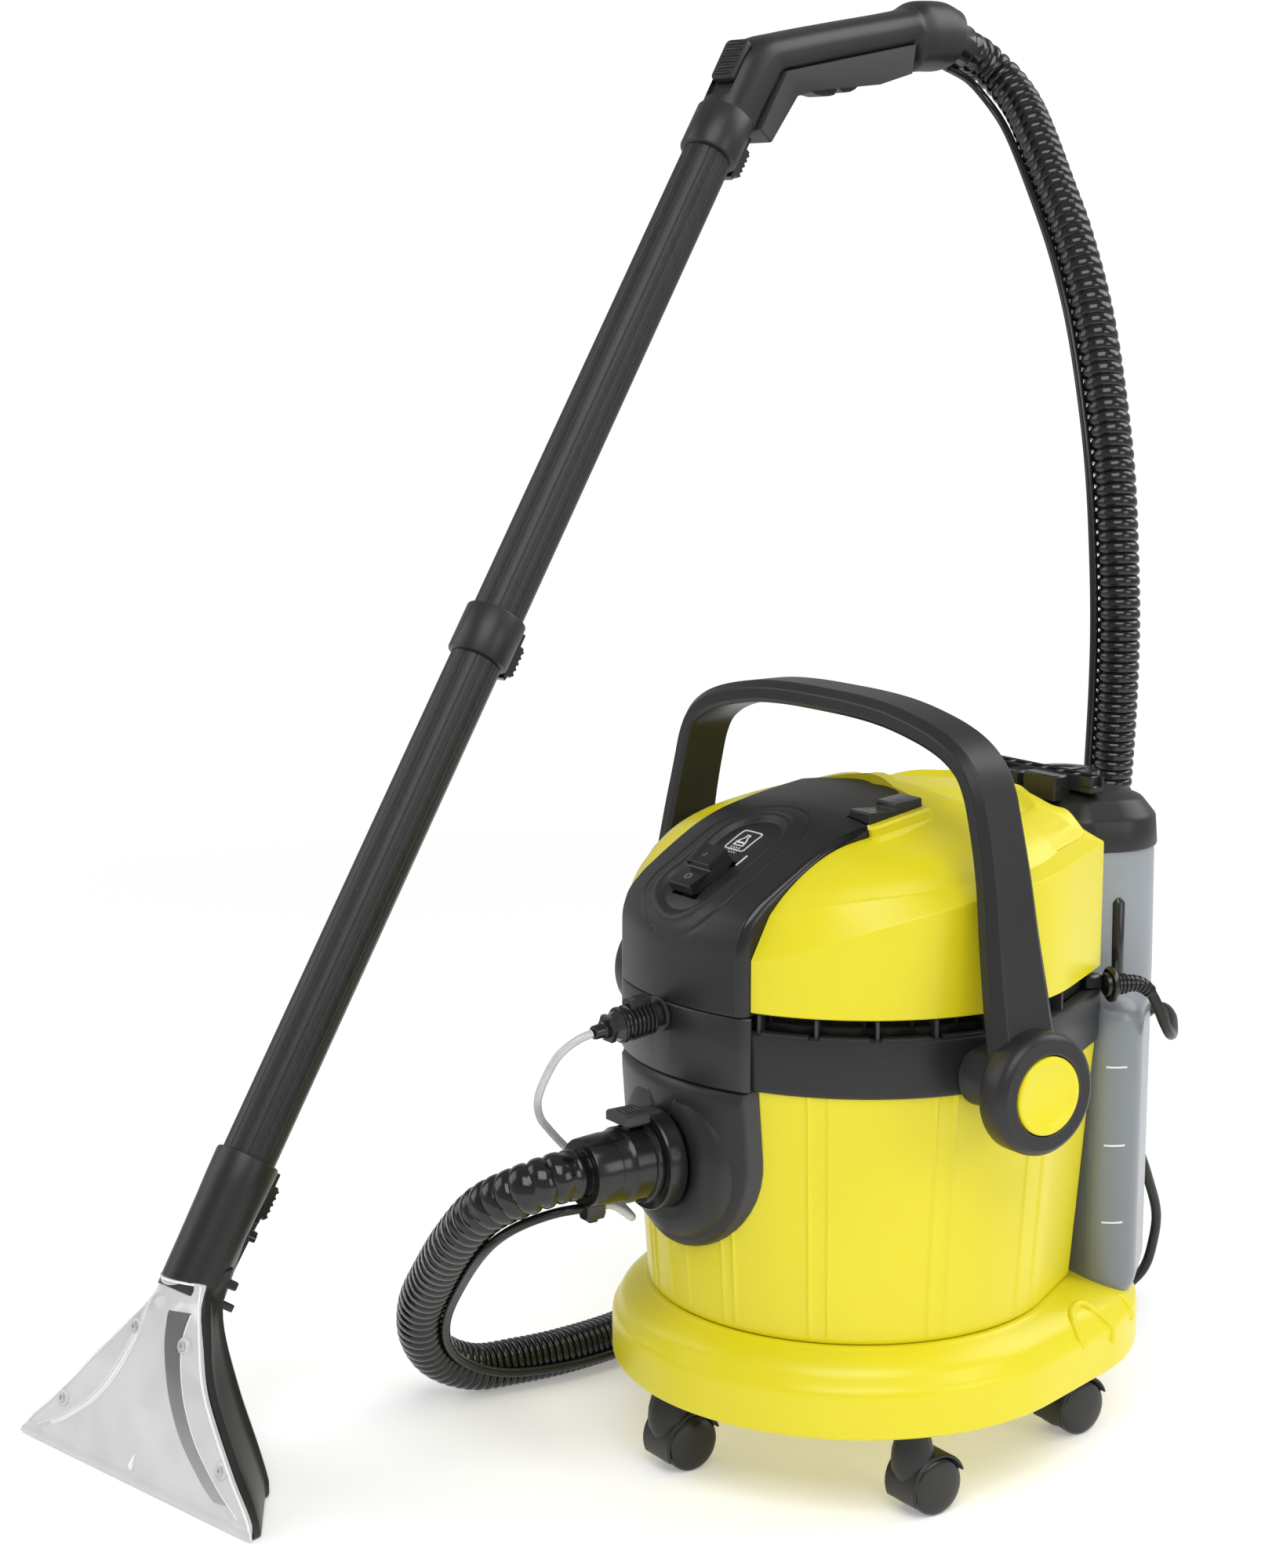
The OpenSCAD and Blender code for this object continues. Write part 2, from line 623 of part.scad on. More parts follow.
module hose_coupling() {
    length = coupling_end - boss_face;
    color(black) machine() at_inlet() {
        difference() {
            union() {
                translate([0, 0, -24]) cylinder(r = inlet_r, h = 28);
                translate([0, 0, 1]) cylinder(r = 26.5, h = 9);
                translate([0, 0, 11]) cylinder(r = 26, h = 5);
                translate([0, 0, 3]) cylinder(r = 23.5, h = 30);
                translate([0, 0, 32]) cylinder(r1 = 22.5, r2 = 21, h = 10);
                translate([0, 0, 41]) cylinder(r1 = 21.5, r2 = 20.5, h = length - 41);
                translate([-5, -30, 44]) cube([10, 12, length - 46]);
            }
            translate([0, 0, -30]) cylinder(r = hose_bore, h = 120);
            translate([-7 - part_gap, 21, 4]) cube([14 + 2 * part_gap, 30, 26]);
            translate([0, -line_drop, 30]) cylinder(r = line_r + 0.2, h = length - 30 - 6);
        }
    }
}

line_drop = hose_r + line_r + line_gap + 4;

module coupling_latch() {
    color(black) machine() at_inlet() {
        translate([-7, 23.8, 4.4]) cube([14, 3, 25]);
        translate([-7, 26.7, 12]) cube([14, 3.5, 17.4]);
        for (k = [0:3]) translate([-6, 30, 14 + 3.6 * k]) cube([12, 1.4, 1.6]);
    }
}

// ---------- hose, water line and clear tube ----------

// Route of the suction hose, from the coupling to the swivel cuff
// Tube length for which the hose and the grip are set out
set_out_tube_l = 388;
grip_slide = 2 * (tube_l - set_out_tube_l);
// Points of the hose's middle line for tubes of the set-out length
hose_drawn = [
    [0, -204, 206], [0, -212, 206], [0, -220, 206], [-8, -238, 200], [-34, -250, 183], [-70, -248, 153], [-108, -240, 120],
    [-141, -232, 88], [-163, -220, 58], [-177, -200, 33], [-180, -172, 18], [-177, -142, 16], [-174, -108, 16],
    [-177, -68, 16], [-184, -36, 16], [-190, 10, 16], [-193, 80, 16], [-195, 150, 16], [-196, 215, 17],
    [-194, 262, 24], [-189, 300, 42], [-182, 328, 76], [-173, 344, 118], [-163, 352, 170], [-153, 354, 235],
    [-144, 352, 300], [-136, 350, 370], [-131, 348, 430], [-131, 348, 485], [-137, 350, 540], [-147, 354, 592],
    [-164, 360, 645], [-189, 369, 702], [-224, 380, 758], [-254, 389, 795], [-285, 399, 831],
    [-312, 408, 857], [-333, 409, 876], [-344, 402, 888], [-345.5, 392, 895], [-344.4, 383.8, 897.8],
    [-342.8, 376.2, 899.7], [-341.2, 368.6, 901.6]
];
// Sideways direction of the water line on the hose, against the share of the hose's length
line_side = [[0, [0, 0, -1]], [0.05, [0.3, 0.3, -1]], [0.11, [0.7, 0.6, -0.5]], [0.17, [1, 0.3, 0.1]],
    [0.22, [1, 0, -0.25]], [0.4, [1, 0, 0]], [0.55, [0.6, -0.8, 0.2]], [0.65, [-0.5, -0.85, 0]],
    [0.85, [-0.55, -0.8, 0]], [0.93, [-0.3, -0.8, -0.6]], [0.985, [0.05, -0.24, -1]], [1, [0.05, -0.24, -1]]];
// Route of the clear tube, from the quick connector to the clip under the coupling
clear_route = [
    [0, -196, 289.6], [-1, -205, 287], [-5, -215, 279], [-10, -221, 266], [-15, -224, 251], [-21, -219, 238],
    [-27, -209, 227], [-32, -196, 214], [-33, -184, 202], [-30, -173, 188], [-20, -166, 177], [-8, -164, 171],
    [0, -168, 172], [0, -176, 178.5], [0, -183, 182.4], [0, -189.5, 183]
];
// Route of the mains lead, from its gland to the top of the stowed coil
lead_route = [
    [106.1, 122.2, 296], [108.8, 129.7, 296], [111.5, 137.2, 295], [114, 144, 290], [116, 149, 281], [117, 154, 270],
    [114, 162, 261], [106, 173, 256], [93, 187, 256], [76, 202, 258], [57, 213, 257], [38, 219, 248], [22, 224, 228], [12, 229, 195],
    [5, 243, 155], [1, 262, 118], [-6, 279, 86], [-15, 285, 58], [-21, 284, 40], [-25.2, 275, 29.6],
    [-26.2, 265, 26.5], [-26.2, 252, 26.5]
];
ring_sides = 8;

// The hose's rise behind the machine stretches as the grip moves with the tubes' length
hose_rise_low = 430;
hose_rise_high = 880;
grip_move = grip_slide * [-sin(wand_turn) * sin(wand_lean), cos(wand_turn) * sin(wand_lean), cos(wand_lean)];
hose_route = [for (p = hose_drawn)
    p + grip_move * max(0, min(1, (p.z - hose_rise_low) / (hose_rise_high - hose_rise_low)))];
hose_length = route_length(hose_route);
rib_pitch = (hose_length - 4 * hose_r) / hose_ribs;
function hose_marks() = concat([0, 8, 2 * hose_r],
    [for (i = [0:hose_ribs - 1]) each [2 * hose_r + (i + 0.25) * rib_pitch, 2 * hose_r + (i + 0.75) * rib_pitch]],
    [hose_length - 2 * hose_r, hose_length - 8, hose_length]);
function hose_radii() = concat([for (i = [0:2]) hose_r - 1.5],
    [for (i = [0:hose_ribs - 1]) each [hose_r, hose_r - 2]], [for (i = [0:2]) hose_r - 1.5]);
bore_steps = 60;
function bore_marks() = concat([0, 8], [for (i = [1:bore_steps - 1]) hose_length * i / bore_steps],
    [hose_length - 8, hose_length]);

module suction_hose() {
    outer = at_distances(hose_route, hose_marks());
    inner = at_distances(hose_route, bore_marks());
    outer_rings = tube_rings(outer, hose_radii(), ring_sides, [1, 0, 0]);
    inner_rings = tube_rings(inner, [for (p = inner) hose_bore], ring_sides, [1, 0, 0]);
    color(black) machine() skin_loop(concat(outer_rings, [for (i = [len(inner) - 1:-1:0]) inner_rings[i]]));
}

function side_at(q) = [picked([for (v = line_side) v[0]], [for (v = line_side) v[1].x], q),
    picked([for (v = line_side) v[0]], [for (v = line_side) v[1].y], q),
    picked([for (v = line_side) v[0]], [for (v = line_side) v[1].z], q)];
line_steps = 62;
// How far the water line runs past the hose's end, to the grip
line_end = 20.4;
// Extra distance of the water line from the hose, near the clip and near the grip
line_off = [[0, 4], [30, 4], [110, 0], [hose_length - 150, 0], [hose_length - 40, 1.4], [hose_length, 1.4]];
function line_marks() = concat([0, 9], [for (i = [1:line_steps - 1]) hose_length * i / line_steps],
    [hose_length - 9, hose_length]);
function line_path() =
    let (q = line_marks(), p = at_distances(hose_route, q), last = len(q) - 1)
    let (run = [for (i = [0:last]) p[i] + (hose_r + line_r + line_gap + lookup(q[i], line_off))
        * across(side_at(q[i] / hose_length), tangent(p, i))])
    concat(run, [for (d = [10, line_end]) run[last] + d * tangent(p, last)]);

module water_line() {
    path = line_path();
    color(black) machine() skin(tube_rings(path, [for (p = path) line_r], ring_sides, [1, 0, 0]));
}

module plain_tube(route, r, steps) {
    path = at_distances(route, [for (i = [0:steps]) route_length(route) * i / steps]);
    skin(tube_rings(path, [for (p = path) r], ring_sides, [1, 0, 0]));
}

module spray_tube() { color(clear_plastic) machine() plain_tube(clear_route, clear_r, 22); }

// ---------- mains lead ----------

module at_gland() { translate([104, 116.5, band_top + 3]) rotate([0, 90, 70]) children(); }

module cable_gland() {
    color(black) machine() difference() {
        union() {
            translate([96.5, 111, band_top]) cylinder(r = 3.8, h = 8);
            translate([95.5, 111, band_top + 4]) rotate([0, 90, 32]) cylinder(r = 3.4, h = 14);
            at_gland() cylinder(r = 7.5, h = 5);
            at_gland() cylinder(r1 = 6.5, r2 = 5.2, h = 14);
        }
        at_gland() translate([0, 0, 6]) cylinder(r = lead_r + 0.5, h = 30);
    }
}

module mains_lead() { color(black) machine() plain_tube(lead_route, lead_r, 38); }

coil_x = -88;
coil_y = 245;
coil_pitch = 2 * lead_r + 0.6;
turn_steps = 16;
floor_gap = 0.2;
plug_x = -151.5;
plug_y = 287;
plug_z = 15;
plug_l = 48;
// Winds in and out through flat layers, and climbs one layer over the half turn at each reversal
function coil_spot(q) =
    let (layer = min(floor(q / coil_turns), coil_layers - 1), f = q - layer * coil_turns)
    let (out = layer % 2 == 0 ? coil_turns - f : f)
    let (up = f > coil_turns - 0.25 && layer < coil_layers - 1)
    let (climb = up ? (f - coil_turns + 0.25) * 2 : f < 0.25 && layer > 0 ? f * 2 - 0.5 : 0)
    let (r = coil_r + (out - coil_turns / 2) * coil_pitch, z = lead_r + (layer + climb) * coil_pitch)
    [coil_x - r * cos(360 * q), coil_y - r * sin(360 * q), z + floor_gap];
coil_total = coil_turns * coil_layers;
coil_out = coil_r + coil_turns / 2 * coil_pitch;
// The lead's last stretch, from the plug down to the outside of the lowest layer
coil_tail = [[plug_x, plug_y, plug_z], [plug_x, plug_y - 8, plug_z], [plug_x + 0.4, plug_y - 16, plug_z - 1.4],
    [plug_x + 1, plug_y - 23, plug_z - 4.2], [coil_x - coil_out, plug_y - 30, lead_r + 3.4],
    [coil_x - coil_out, plug_y - 36, lead_r + 0.9]];
coil_end = [coil_x + coil_out, coil_y + 2 * lead_r, lead_r + (coil_layers - 1) * coil_pitch + floor_gap];
coil_points = concat(coil_tail, [for (i = [0:coil_total * turn_steps]) coil_spot(i / turn_steps)], [coil_end]);
coil_count = len(coil_points);
coil_least = min([for (i = [0:3:coil_count - 1]) for (j = [i + 12:1:coil_count - 1])
    norm(coil_points[i] - coil_points[j])]) - 2 * lead_r;
echo(coil_least_gap = coil_least, hose_length = hose_length, lead_length = route_length(lead_route),
    coil_length = run_lengths(coil_points)[coil_count - 1], clear_length = route_length(clear_route));

module mains_coil() {
    color(black) machine() skin(tube_rings(coil_points, [for (p = coil_points) lead_r], 6, [0, 0, 1]));
}

module mains_plug() {
    color(black) machine() translate([plug_x, plug_y, plug_z]) rotate([-90, 0, 0]) {
        cylinder(r1 = 5, r2 = 8, h = 26);
        translate([0, 0, plug_l / 2]) cylinder(r = 14.8, h = plug_l / 2);
        for (side = [-1, 1]) translate([side * 9.5, 0, plug_l - 1]) cylinder(r = 2.4, h = 20);
    }
}

// ---------- handle ----------

// Outer face of the strap's right half: distance from the axis, drop below the handle's top
strap_half = [[0, 0], [30, 0.3], [58, 2], [82, 5.5], [106, 11], [124, 18], [138, 28], [147, 42], [153, 60],
    [161.5, 92], [168, 125], [174, 152], [182, 186]];
function strap_side(k, side) =
    let (p = strap_half[k], a = strap_half[max(k - 1, 0)], b = strap_half[min(k + 1, len(strap_half) - 1)])
    let (d = k == 0 ? [1, 0] : unit([b.x - a.x, a.y - b.y]), out = [-d.y, d.x])
    let (half = strap_w / 2, edge = 4, c = [p.x, handle_top - p.y])
    [for (q = [[-half + edge, 0], [-half, -edge], [-half, -strap_t + 2], [-half + 2, -strap_t],
        [half - 2, -strap_t], [half, -strap_t + 2], [half, -edge], [half - edge, 0]])
        let (o = c + out * q.y) [side * o.x, pin_y + q.x, o.y]];
function strap_rings() = concat([for (k = [len(strap_half) - 1:-1:1]) strap_side(k, -1)],
    [for (k = [0:len(strap_half) - 1]) strap_side(k, 1)]);

module carry_handle() {
    color(satin_black) machine() difference() {
        union() {
            skin(strap_rings());
            for (side = [0, 1]) mirror([side, 0, 0]) translate([hub_face - hub_t, pin_y, pin_z])
                rotate([0, 90, 0]) cylinder(r = hub_r, h = hub_t);
        }
        for (side = [0, 1]) mirror([side, 0, 0]) translate([0, pin_y, pin_z]) rotate([0, 90, 0]) {
            translate([0, 0, cover_r + 4]) cylinder(r = pin_r + run_fit, h = 80);
            translate([0, 0, hub_face - 4.5]) cylinder(r = cap_r + 0.3, h = 20);
            translate([0, 0, cover_r + 4]) cylinder(r = boss_r + 1.2, h = hub_face - hub_t - cover_r - 4);
        }
    }
}

module hub_caps() {
    color(yellow) machine() for (side = [0, 1]) mirror([side, 0, 0])
        translate([hub_face - 4.4, pin_y, pin_z]) rotate([0, 90, 0]) rotate_extrude()
            polygon([[0, 0], [cap_r, 0], [cap_r, 4.4], [cap_r - 1.5, 5.4], [cap_r - 4, 5], [12, 3.6], [0, 3.2]]);
}

// ---------- fresh water tank ----------

lobe_r = 20;
rear_arc_r = tank_d / 2 - 1;
// Plan circles of the tank; share is 1 on the lower body with its lobes and 0 on the upper body
function tank_circles(share) =
    let (x = tank_w / 2 - lobe_r - 27 * (1 - share), y = tank_front + lobe_r - 2 * (1 - share))
    let (r = lobe_r - 2 * (1 - share), back_y = tank_front + tank_d - rear_arc_r, back_x = tank_w / 2 - 60)
    [[-x, y, r], [x, y, r], [-back_x, back_y, rear_arc_r], [back_x, back_y, rear_arc_r]];
function tank_level(share, inset, z) = lifted(hull_outline(tank_circles(share), inset, 1000, 40), z);
tank_wall = 2.5;
shoulder = tank_low + 180;

module fresh_tank() {
    color(smoke) machine() difference() {
        skin([tank_level(1, 9, tank_low), tank_level(1, 0.5, tank_low + 9), tank_level(1, 0, shoulder),
            tank_level(0.85, 0, shoulder + 9), tank_level(0.4, 0, shoulder + 17), tank_level(0, 0, shoulder + 24),
            tank_level(0, 1, tank_top)]);
        skin([tank_level(1, 10, tank_low + tank_wall), tank_level(1, tank_wall + 0.5, tank_low + 11),
            tank_level(1, tank_wall, shoulder - 2), tank_level(0.85, tank_wall, shoulder + 7),
            tank_level(0.4, tank_wall, shoulder + 15), tank_level(0, tank_wall, shoulder + 22),
            tank_level(0, tank_wall + 1, tank_top + 1)]);
    }
}

cap_top = tank_top + tank_cap_h;
fill_y = tank_front + 52;
fill_r = 19;

module tank_cap() {
    color(satin_black) machine() difference() {
        skin([tank_level(0, 0, tank_top), tank_level(0, 1, tank_top + 16), tank_level(0, 5, cap_top - 9),
            tank_level(0, 10, cap_top - 4), tank_level(0, 15, cap_top - 1), tank_level(0, 17, cap_top)]);
        skin([tank_level(0, 3.5, tank_top - 1), tank_level(0, 4, tank_top + 15), tank_level(0, 9, cap_top - 11),
            tank_level(0, 16, cap_top - 4)]);
        translate([0, fill_y, cap_top - 10]) cylinder(r = fill_r + run_fit, h = 20);
    }
}

frame_y = tank_front + 17;

module tank_frame() {
    color(satin_black) machine() difference() {
        translate([-64, frame_y - 2, cap_top]) cube([128, 12, 11]);
        for (x = [-50:20:30]) translate([x, frame_y + 1, cap_top + 3]) cube([14, 6, 12]);
    }
}

module tank_lid() {
    color(black) machine() {
        translate([0, fill_y, cap_top - 5]) cylinder(r = fill_r, h = 8);
        translate([0, fill_y, cap_top + 0.3]) cylinder(r = fill_r + 4, h = 3.5);
    }
}

// ---------- wand ----------

wand_x = -173.6;
wand_y = -419.8;
neck_s = 97.3;
neck_z = 186.4;
socket_r = tube_r + socket_wall;
module wand() { machine() translate([wand_x, wand_y, 0]) rotate([0, 0, wand_turn]) children(); }
module on_tube(d) {
    wand() translate([0, neck_s, neck_z]) rotate([-wand_lean, 0, 0]) translate([0, 0, d]) children();
}
upper_start = tube_l;
grip_start = 2 * tube_l + 11;

// One turned wall: the plain end, the tube, and the wider socket that takes the next one
module suction_tube(start, length) {
    socket_start = length - socket_deep;
    on_tube(start) rotate_extrude() polygon([[tube_r - tube_wall, 1 - socket_deep], [tube_r, 1 - socket_deep],
        [tube_r, socket_start - 1], [socket_r, socket_start + 1], [socket_r, length], [tube_r + run_fit, length],
        [tube_r + run_fit, socket_start], [tube_r - tube_wall, socket_start]]);
}

module lower_tube() { color(satin_black) suction_tube(0, tube_l); }
module upper_tube() { color(satin_black) suction_tube(upper_start, tube_l + 11); }

module tube_latch(d) {
    color(black) on_tube(d) {
        translate([-7, socket_r + 0.3, -34]) cube([14, 4, 34]);
        translate([-7, socket_r + 4, -30]) cube([14, 4.5, 22]);
        for (k = [0:4]) translate([-7, socket_r + 8.2, -29 + 4.2 * k]) cube([14, 1.8, 2]);
    }
}

module latch_lower() { tube_latch(-1); }
module latch_middle() { tube_latch(upper_start - 1); }
module latch_upper() { tube_latch(grip_start - 1); }

// Nozzle outline against height: front half width, rear half width
front_half = [[0, 1], [8, 0.965], [30, 0.77], [60, 0.53], [90, 0.325], [120, 0.19], [140, 0.17]];
rear_half = [[0, 77], [30, 60], [60, 42], [104, 21], [140, 18]];
function window_s(z) = window_t + 0.5 + z * tan(window_slope);
function rear_s(z) = lookup(z, [[0, 50], [10, 54], [60, 56], [104, 62], [125, 72], [140, 82]]);
function nozzle_level(z, trim = 0) =
    let (f = nozzle_w / 2 * lookup(z, front_half) - 1.5 - trim, b = max(4, lookup(z, rear_half) - trim))
    let (s = window_s(z), e = rear_s(z) - trim)
    [[-f, s, z], [f, s, z], [f - 2, s + 6, z], [b, e - 5, z], [b - 4, e, z], [4 - b, e, z], [-b, e - 5, z], [2 - f, s + 6, z]];
function channel_level(z) =
    let (f = nozzle_w / 2 * lookup(z, front_half) - (z > 100 ? 7 : 9), s = window_s(z), e = s + lookup(z, [[0, 7], [60, 12], [125, 22]]))
    [[-f, s - 1, z], [f, s - 1, z], [f - 1, e - 2, z], [f - 4, e, z], [4 - f, e, z], [1 - f, e - 2, z]];

screw_spots = [[-24, 92], [24, 92], [-80, 32], [80, 32]];
module at_window() { wand() translate([0, window_t + 0.5, 0]) rotate([-window_slope, 0, 0]) children(); }

module nozzle_shell() {
    color(satin_black) difference() {
        union() {
            wand() skin([for (z = [0.6, 8, 20, 32, 46, 60, 76, 92, 108, 125]) nozzle_level(z)]);
            on_tube(-86) cylinder(r1 = 18.6, r2 = socket_r - 1, h = 60);
            on_tube(-30) cylinder(r = socket_r - 1, h = 30);
        }
        wand() skin([for (z = [-1, 8, 20, 32, 46, 60, 76, 92, 108, 116]) channel_level(z)]);
        on_tube(-socket_deep) cylinder(r = tube_r + run_fit, h = 60);
        on_tube(-82) cylinder(r = tube_r - 5, h = 80);
        at_window() for (p = screw_spots) translate([p.x, -1, p.y]) rotate([-90, 0, 0])
            cylinder(r = 1.75, h = 9);
    }
}

module window_outline() {
    heights = [0, 8, 30, 60, 90, 120, 128];
    half = [for (z = heights) nozzle_w / 2 * lookup(z, front_half)];
    polygon(concat([for (i = [0:6]) [half[i], heights[i] + 0.8]], [for (i = [6:-1:0]) [-half[i], heights[i] + 0.8]]));
}

module nozzle_window() {
    color(clear_plastic) at_window() difference() {
        union() {
            rotate([90, 0, 0]) linear_extrude(height = window_t) window_outline();
            translate([-nozzle_w / 2, -window_t - 1.5, 0.8]) cube([nozzle_w, 2, 5]);
        }
        for (p = screw_spots) translate([p.x, 1, p.y]) rotate([90, 0, 0]) cylinder(r = 2.2, h = 9);
    }
}

module nozzle_screws() {
    color(steel) at_window() for (p = screw_spots) translate([p.x, -window_t - 1.4, p.y]) rotate([-90, 0, 0]) {
        cylinder(r = 4, h = 1.3);
        cylinder(r = 1.7, h = 10);
    }
}

module spray_jet() {
    color(black) {
        on_tube(-74) translate([0, socket_r + 5, 0]) cylinder(r = 2, h = 38);
        on_tube(-78) translate([-9, socket_r - 0.6, 0]) cube([18, 9, 6]);
        on_tube(-90) translate([-6, socket_r - 0.6, 0]) cube([12, 15, 5]);
        on_tube(-90) translate([-4, socket_r - 0.6, 0]) cube([8, 6, 14]);
        on_tube(-42) translate([-4, socket_r - 0.6, 0]) cube([8, 8, 4]);
    }
}

// The grip slides along with the end of the tubes
module at_grip() {
    wand() translate([0, grip_slide * sin(wand_lean), grip_slide * cos(wand_lean)]) children();
}

// Grip stations in the wand's plane: upper point, lower point, half width
grip_stations = [[[523.1, 848.7], [554.1, 827.9], 18.6], [[535.6, 867.6], [566.4, 846.2], 18.6], [[547, 883], [577, 859.5], 18.5],
    [[562, 892.5], [584.5, 869.3], 18.3], [[592, 899], [600, 872.3], 18], [[652, 910], [655, 882.6], 17.5],
    [[706, 919.5], [709, 892.6], 18], [[731, 924.5], [731.6, 897], 19.5], [[737, 927], [741, 879.5], 21],
    [[748, 931.5], [758, 881], 22.5], [[772, 933], [770, 881.5], 22.5], [[790, 929], [780, 884], 22]];
function grip_ring(k) =
    let (p = grip_stations[k], m = (p[0] + p[1]) / 2, d = (p[0] - p[1]) / 2)
    [for (j = [0:15]) let (a = 22.5 * j, e = m + d * cos(a)) [p[2] * sin(a), e.x, e.y]];
cuff_s = 785;
cuff_z = 906.7;
cuff_droop = 13.7;
module at_cuff() { at_grip() translate([0, cuff_s, cuff_z]) rotate([-90 - cuff_droop, 0, 0]) children(); }

module grip_upper() {
    color(satin_black) difference() {
        union() {
            at_grip() skin([for (k = [0:len(grip_stations) - 1]) grip_ring(k)]);
            on_tube(grip_start - socket_deep + 1) cylinder(r = tube_r, h = socket_deep + 2);
        }
        on_tube(grip_start - socket_deep - 1) cylinder(r = tube_r - 4, h = socket_deep + 6);
        at_cuff() translate([0, 0, -14]) cylinder(r = 16.5 + run_fit, h = 40);
        at_cuff() translate([0, 0, -30]) cylinder(r = 12, h = 40);
        at_slider() translate([-10.4, -0.4, -4]) cube([20.8, 33.8 + slider_travel, 30]);
    }
}

// Lower half of the grip, as its outline in the wand's plane
keel = [[555.2, 827.4], [584.8, 868.6], [731, 896.2], [731, 876.5], [689, 867], [653, 863], [612, 858.5], [595, 854],
    [567, 821]];

module grip_lower() {
    color(satin_black) difference() {
        at_grip() translate([14, 0, 0]) rotate([0, -90, 0]) linear_extrude(height = 28)
            polygon([for (p = keel) [p.y, p.x]]);
        at_trigger() translate([-7.4, -4, -12]) cube([14.8, 90, 14 + trigger_travel]);
        at_trigger() translate([-20, 0, 0]) rotate([0, 90, 0]) cylinder(r = 2 + run_fit, h = 40);
    }
}

module at_trigger() { at_grip() translate([0, 604, 864]) rotate([8, 0, 0]) children(); }

module spray_trigger() {
    color(black) at_trigger() {
        translate([-7, 0, 0]) rotate([90, 0, 90]) linear_extrude(height = 14)
            polygon([[-2.5, -3], [10, -5], [22, -10], [38, -12.5], [44, -12], [47, -8], [50, -8], [56, -11.5], [68, -10.5],
                [76, -5], [76, -1], [-2.5, 2.4]]);
        translate([-11, 0, 0]) rotate([0, 90, 0]) cylinder(r = 2, h = 22);
    }
}

module at_slider() { at_grip() translate([0, 527.5, 853]) rotate([56.5, 0, 0]) children(); }

module air_slider() {
    color(black) at_slider() {
        translate([-10, slider_travel, -3.6]) cube([20, 33, 5.4]);
        for (k = [0:5]) translate([-8, slider_travel + 3 + 5 * k, 1.7]) cube([16, 2.2, 1.6]);
    }
}

module swivel_cuff() {
    color(black) at_cuff() difference() {
        union() {
            translate([0, 0, -13]) cylinder(r = 16.5, h = 14);
            translate([0, 0, 0.6]) cylinder(r = 17, h = 21);
        }
        translate([0, 0, -20]) cylinder(r = 11, h = 60);
    }
}

base_ring();
drum();
inlet_housing();
rim_band();
head_cover();
console_panel();
console_mid();
spray_rocker();
power_rocker();
spray_switch();
power_switch();
motor_plate();
motor_can();
motor_rotor();
water_pump();
float_cage();
float_ball();
drum_seal();
quick_socket();
quick_connector();
hose_coupling();
coupling_latch();
suction_hose();
water_line();
spray_tube();
carry_handle();
hub_caps();
fresh_tank();
tank_cap();
tank_frame();
tank_lid();
cable_gland();
mains_lead();
mains_coil();
mains_plug();
caster_fork(1);  // caster_fork_1
caster_fork(2);  // caster_fork_2
caster_fork(3);  // caster_fork_3
caster_fork(4);  // caster_fork_4
caster_fork(5);  // caster_fork_5
caster_wheel(1);  // caster_wheel_1
caster_wheel(2);  // caster_wheel_2
caster_wheel(3);  // caster_wheel_3
caster_wheel(4);  // caster_wheel_4
caster_wheel(5);  // caster_wheel_5
nozzle_shell();
nozzle_window();
nozzle_screws();
spray_jet();
lower_tube();
upper_tube();
latch_lower();
latch_middle();
latch_upper();
grip_upper();
grip_lower();
spray_trigger();
air_slider();
swivel_cuff();
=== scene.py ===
"""Spot extractor: the looks of a spray-extraction cleaner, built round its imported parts."""
import math

import bmesh
import bpy
from mathutils import Matrix, Vector


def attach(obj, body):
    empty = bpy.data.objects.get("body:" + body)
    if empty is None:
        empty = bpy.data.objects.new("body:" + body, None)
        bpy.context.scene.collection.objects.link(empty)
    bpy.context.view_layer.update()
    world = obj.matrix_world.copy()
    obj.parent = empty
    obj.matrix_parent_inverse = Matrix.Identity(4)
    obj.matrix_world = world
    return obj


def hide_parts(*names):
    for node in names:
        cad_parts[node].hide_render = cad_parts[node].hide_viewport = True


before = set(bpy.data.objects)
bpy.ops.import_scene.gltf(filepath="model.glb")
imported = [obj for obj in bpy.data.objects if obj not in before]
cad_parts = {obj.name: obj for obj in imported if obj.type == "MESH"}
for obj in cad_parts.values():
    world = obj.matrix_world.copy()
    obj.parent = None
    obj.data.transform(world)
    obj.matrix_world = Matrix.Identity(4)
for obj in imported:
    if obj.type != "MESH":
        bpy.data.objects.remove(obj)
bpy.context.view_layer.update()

bl_info = {
    "name": "Spot Extractor",
    "version": (1, 0, 0),
    "blender": (4, 5, 0),
    "location": "View3D > Sidebar > Extractor",
    "description": "Builds a spray-extraction cleaner piece by piece",
    "category": "Object",
}

MM = 0.001
# The machine's own axis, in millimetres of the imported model
AXIS = Vector((80.915, 35.471, 0))
CAMERA_PLACE = (1298.8, -1053.2, 716)
CAMERA_TURN = (79.88, 0, 55.5)

# Shared sizes of the machine, in millimetres
COVER_R, COVER_BACK_R, BACK_SHIFT, FLAT_BACK = 141, 113, 58, 121
RING_LOW, DRUM_LOW, DRUM_TOP, BAND_TOP, COVER_LOW = 53, 103, 258, 293, 305
DRUM_TAPER, DRUM_STEP = 10, 111
PIN_Y, PIN_Z, HUB_FACE, HUB_T, HUB_R = -15, 269, 195.5, 20, 36
HANDLE_TOP = 481
INLET_Z, BOSS_FACE, COUPLING_END = 206, 146, 204
TANK_FRONT, TANK_W, TANK_D, TANK_LOW, TANK_TOP, CAP_TOP = 122, 208, 78, 88, 372, 407
HOSE_R, LINE_R, CLEAR_R, LEAD_R = 15.5, 3, 2.5, 3.5
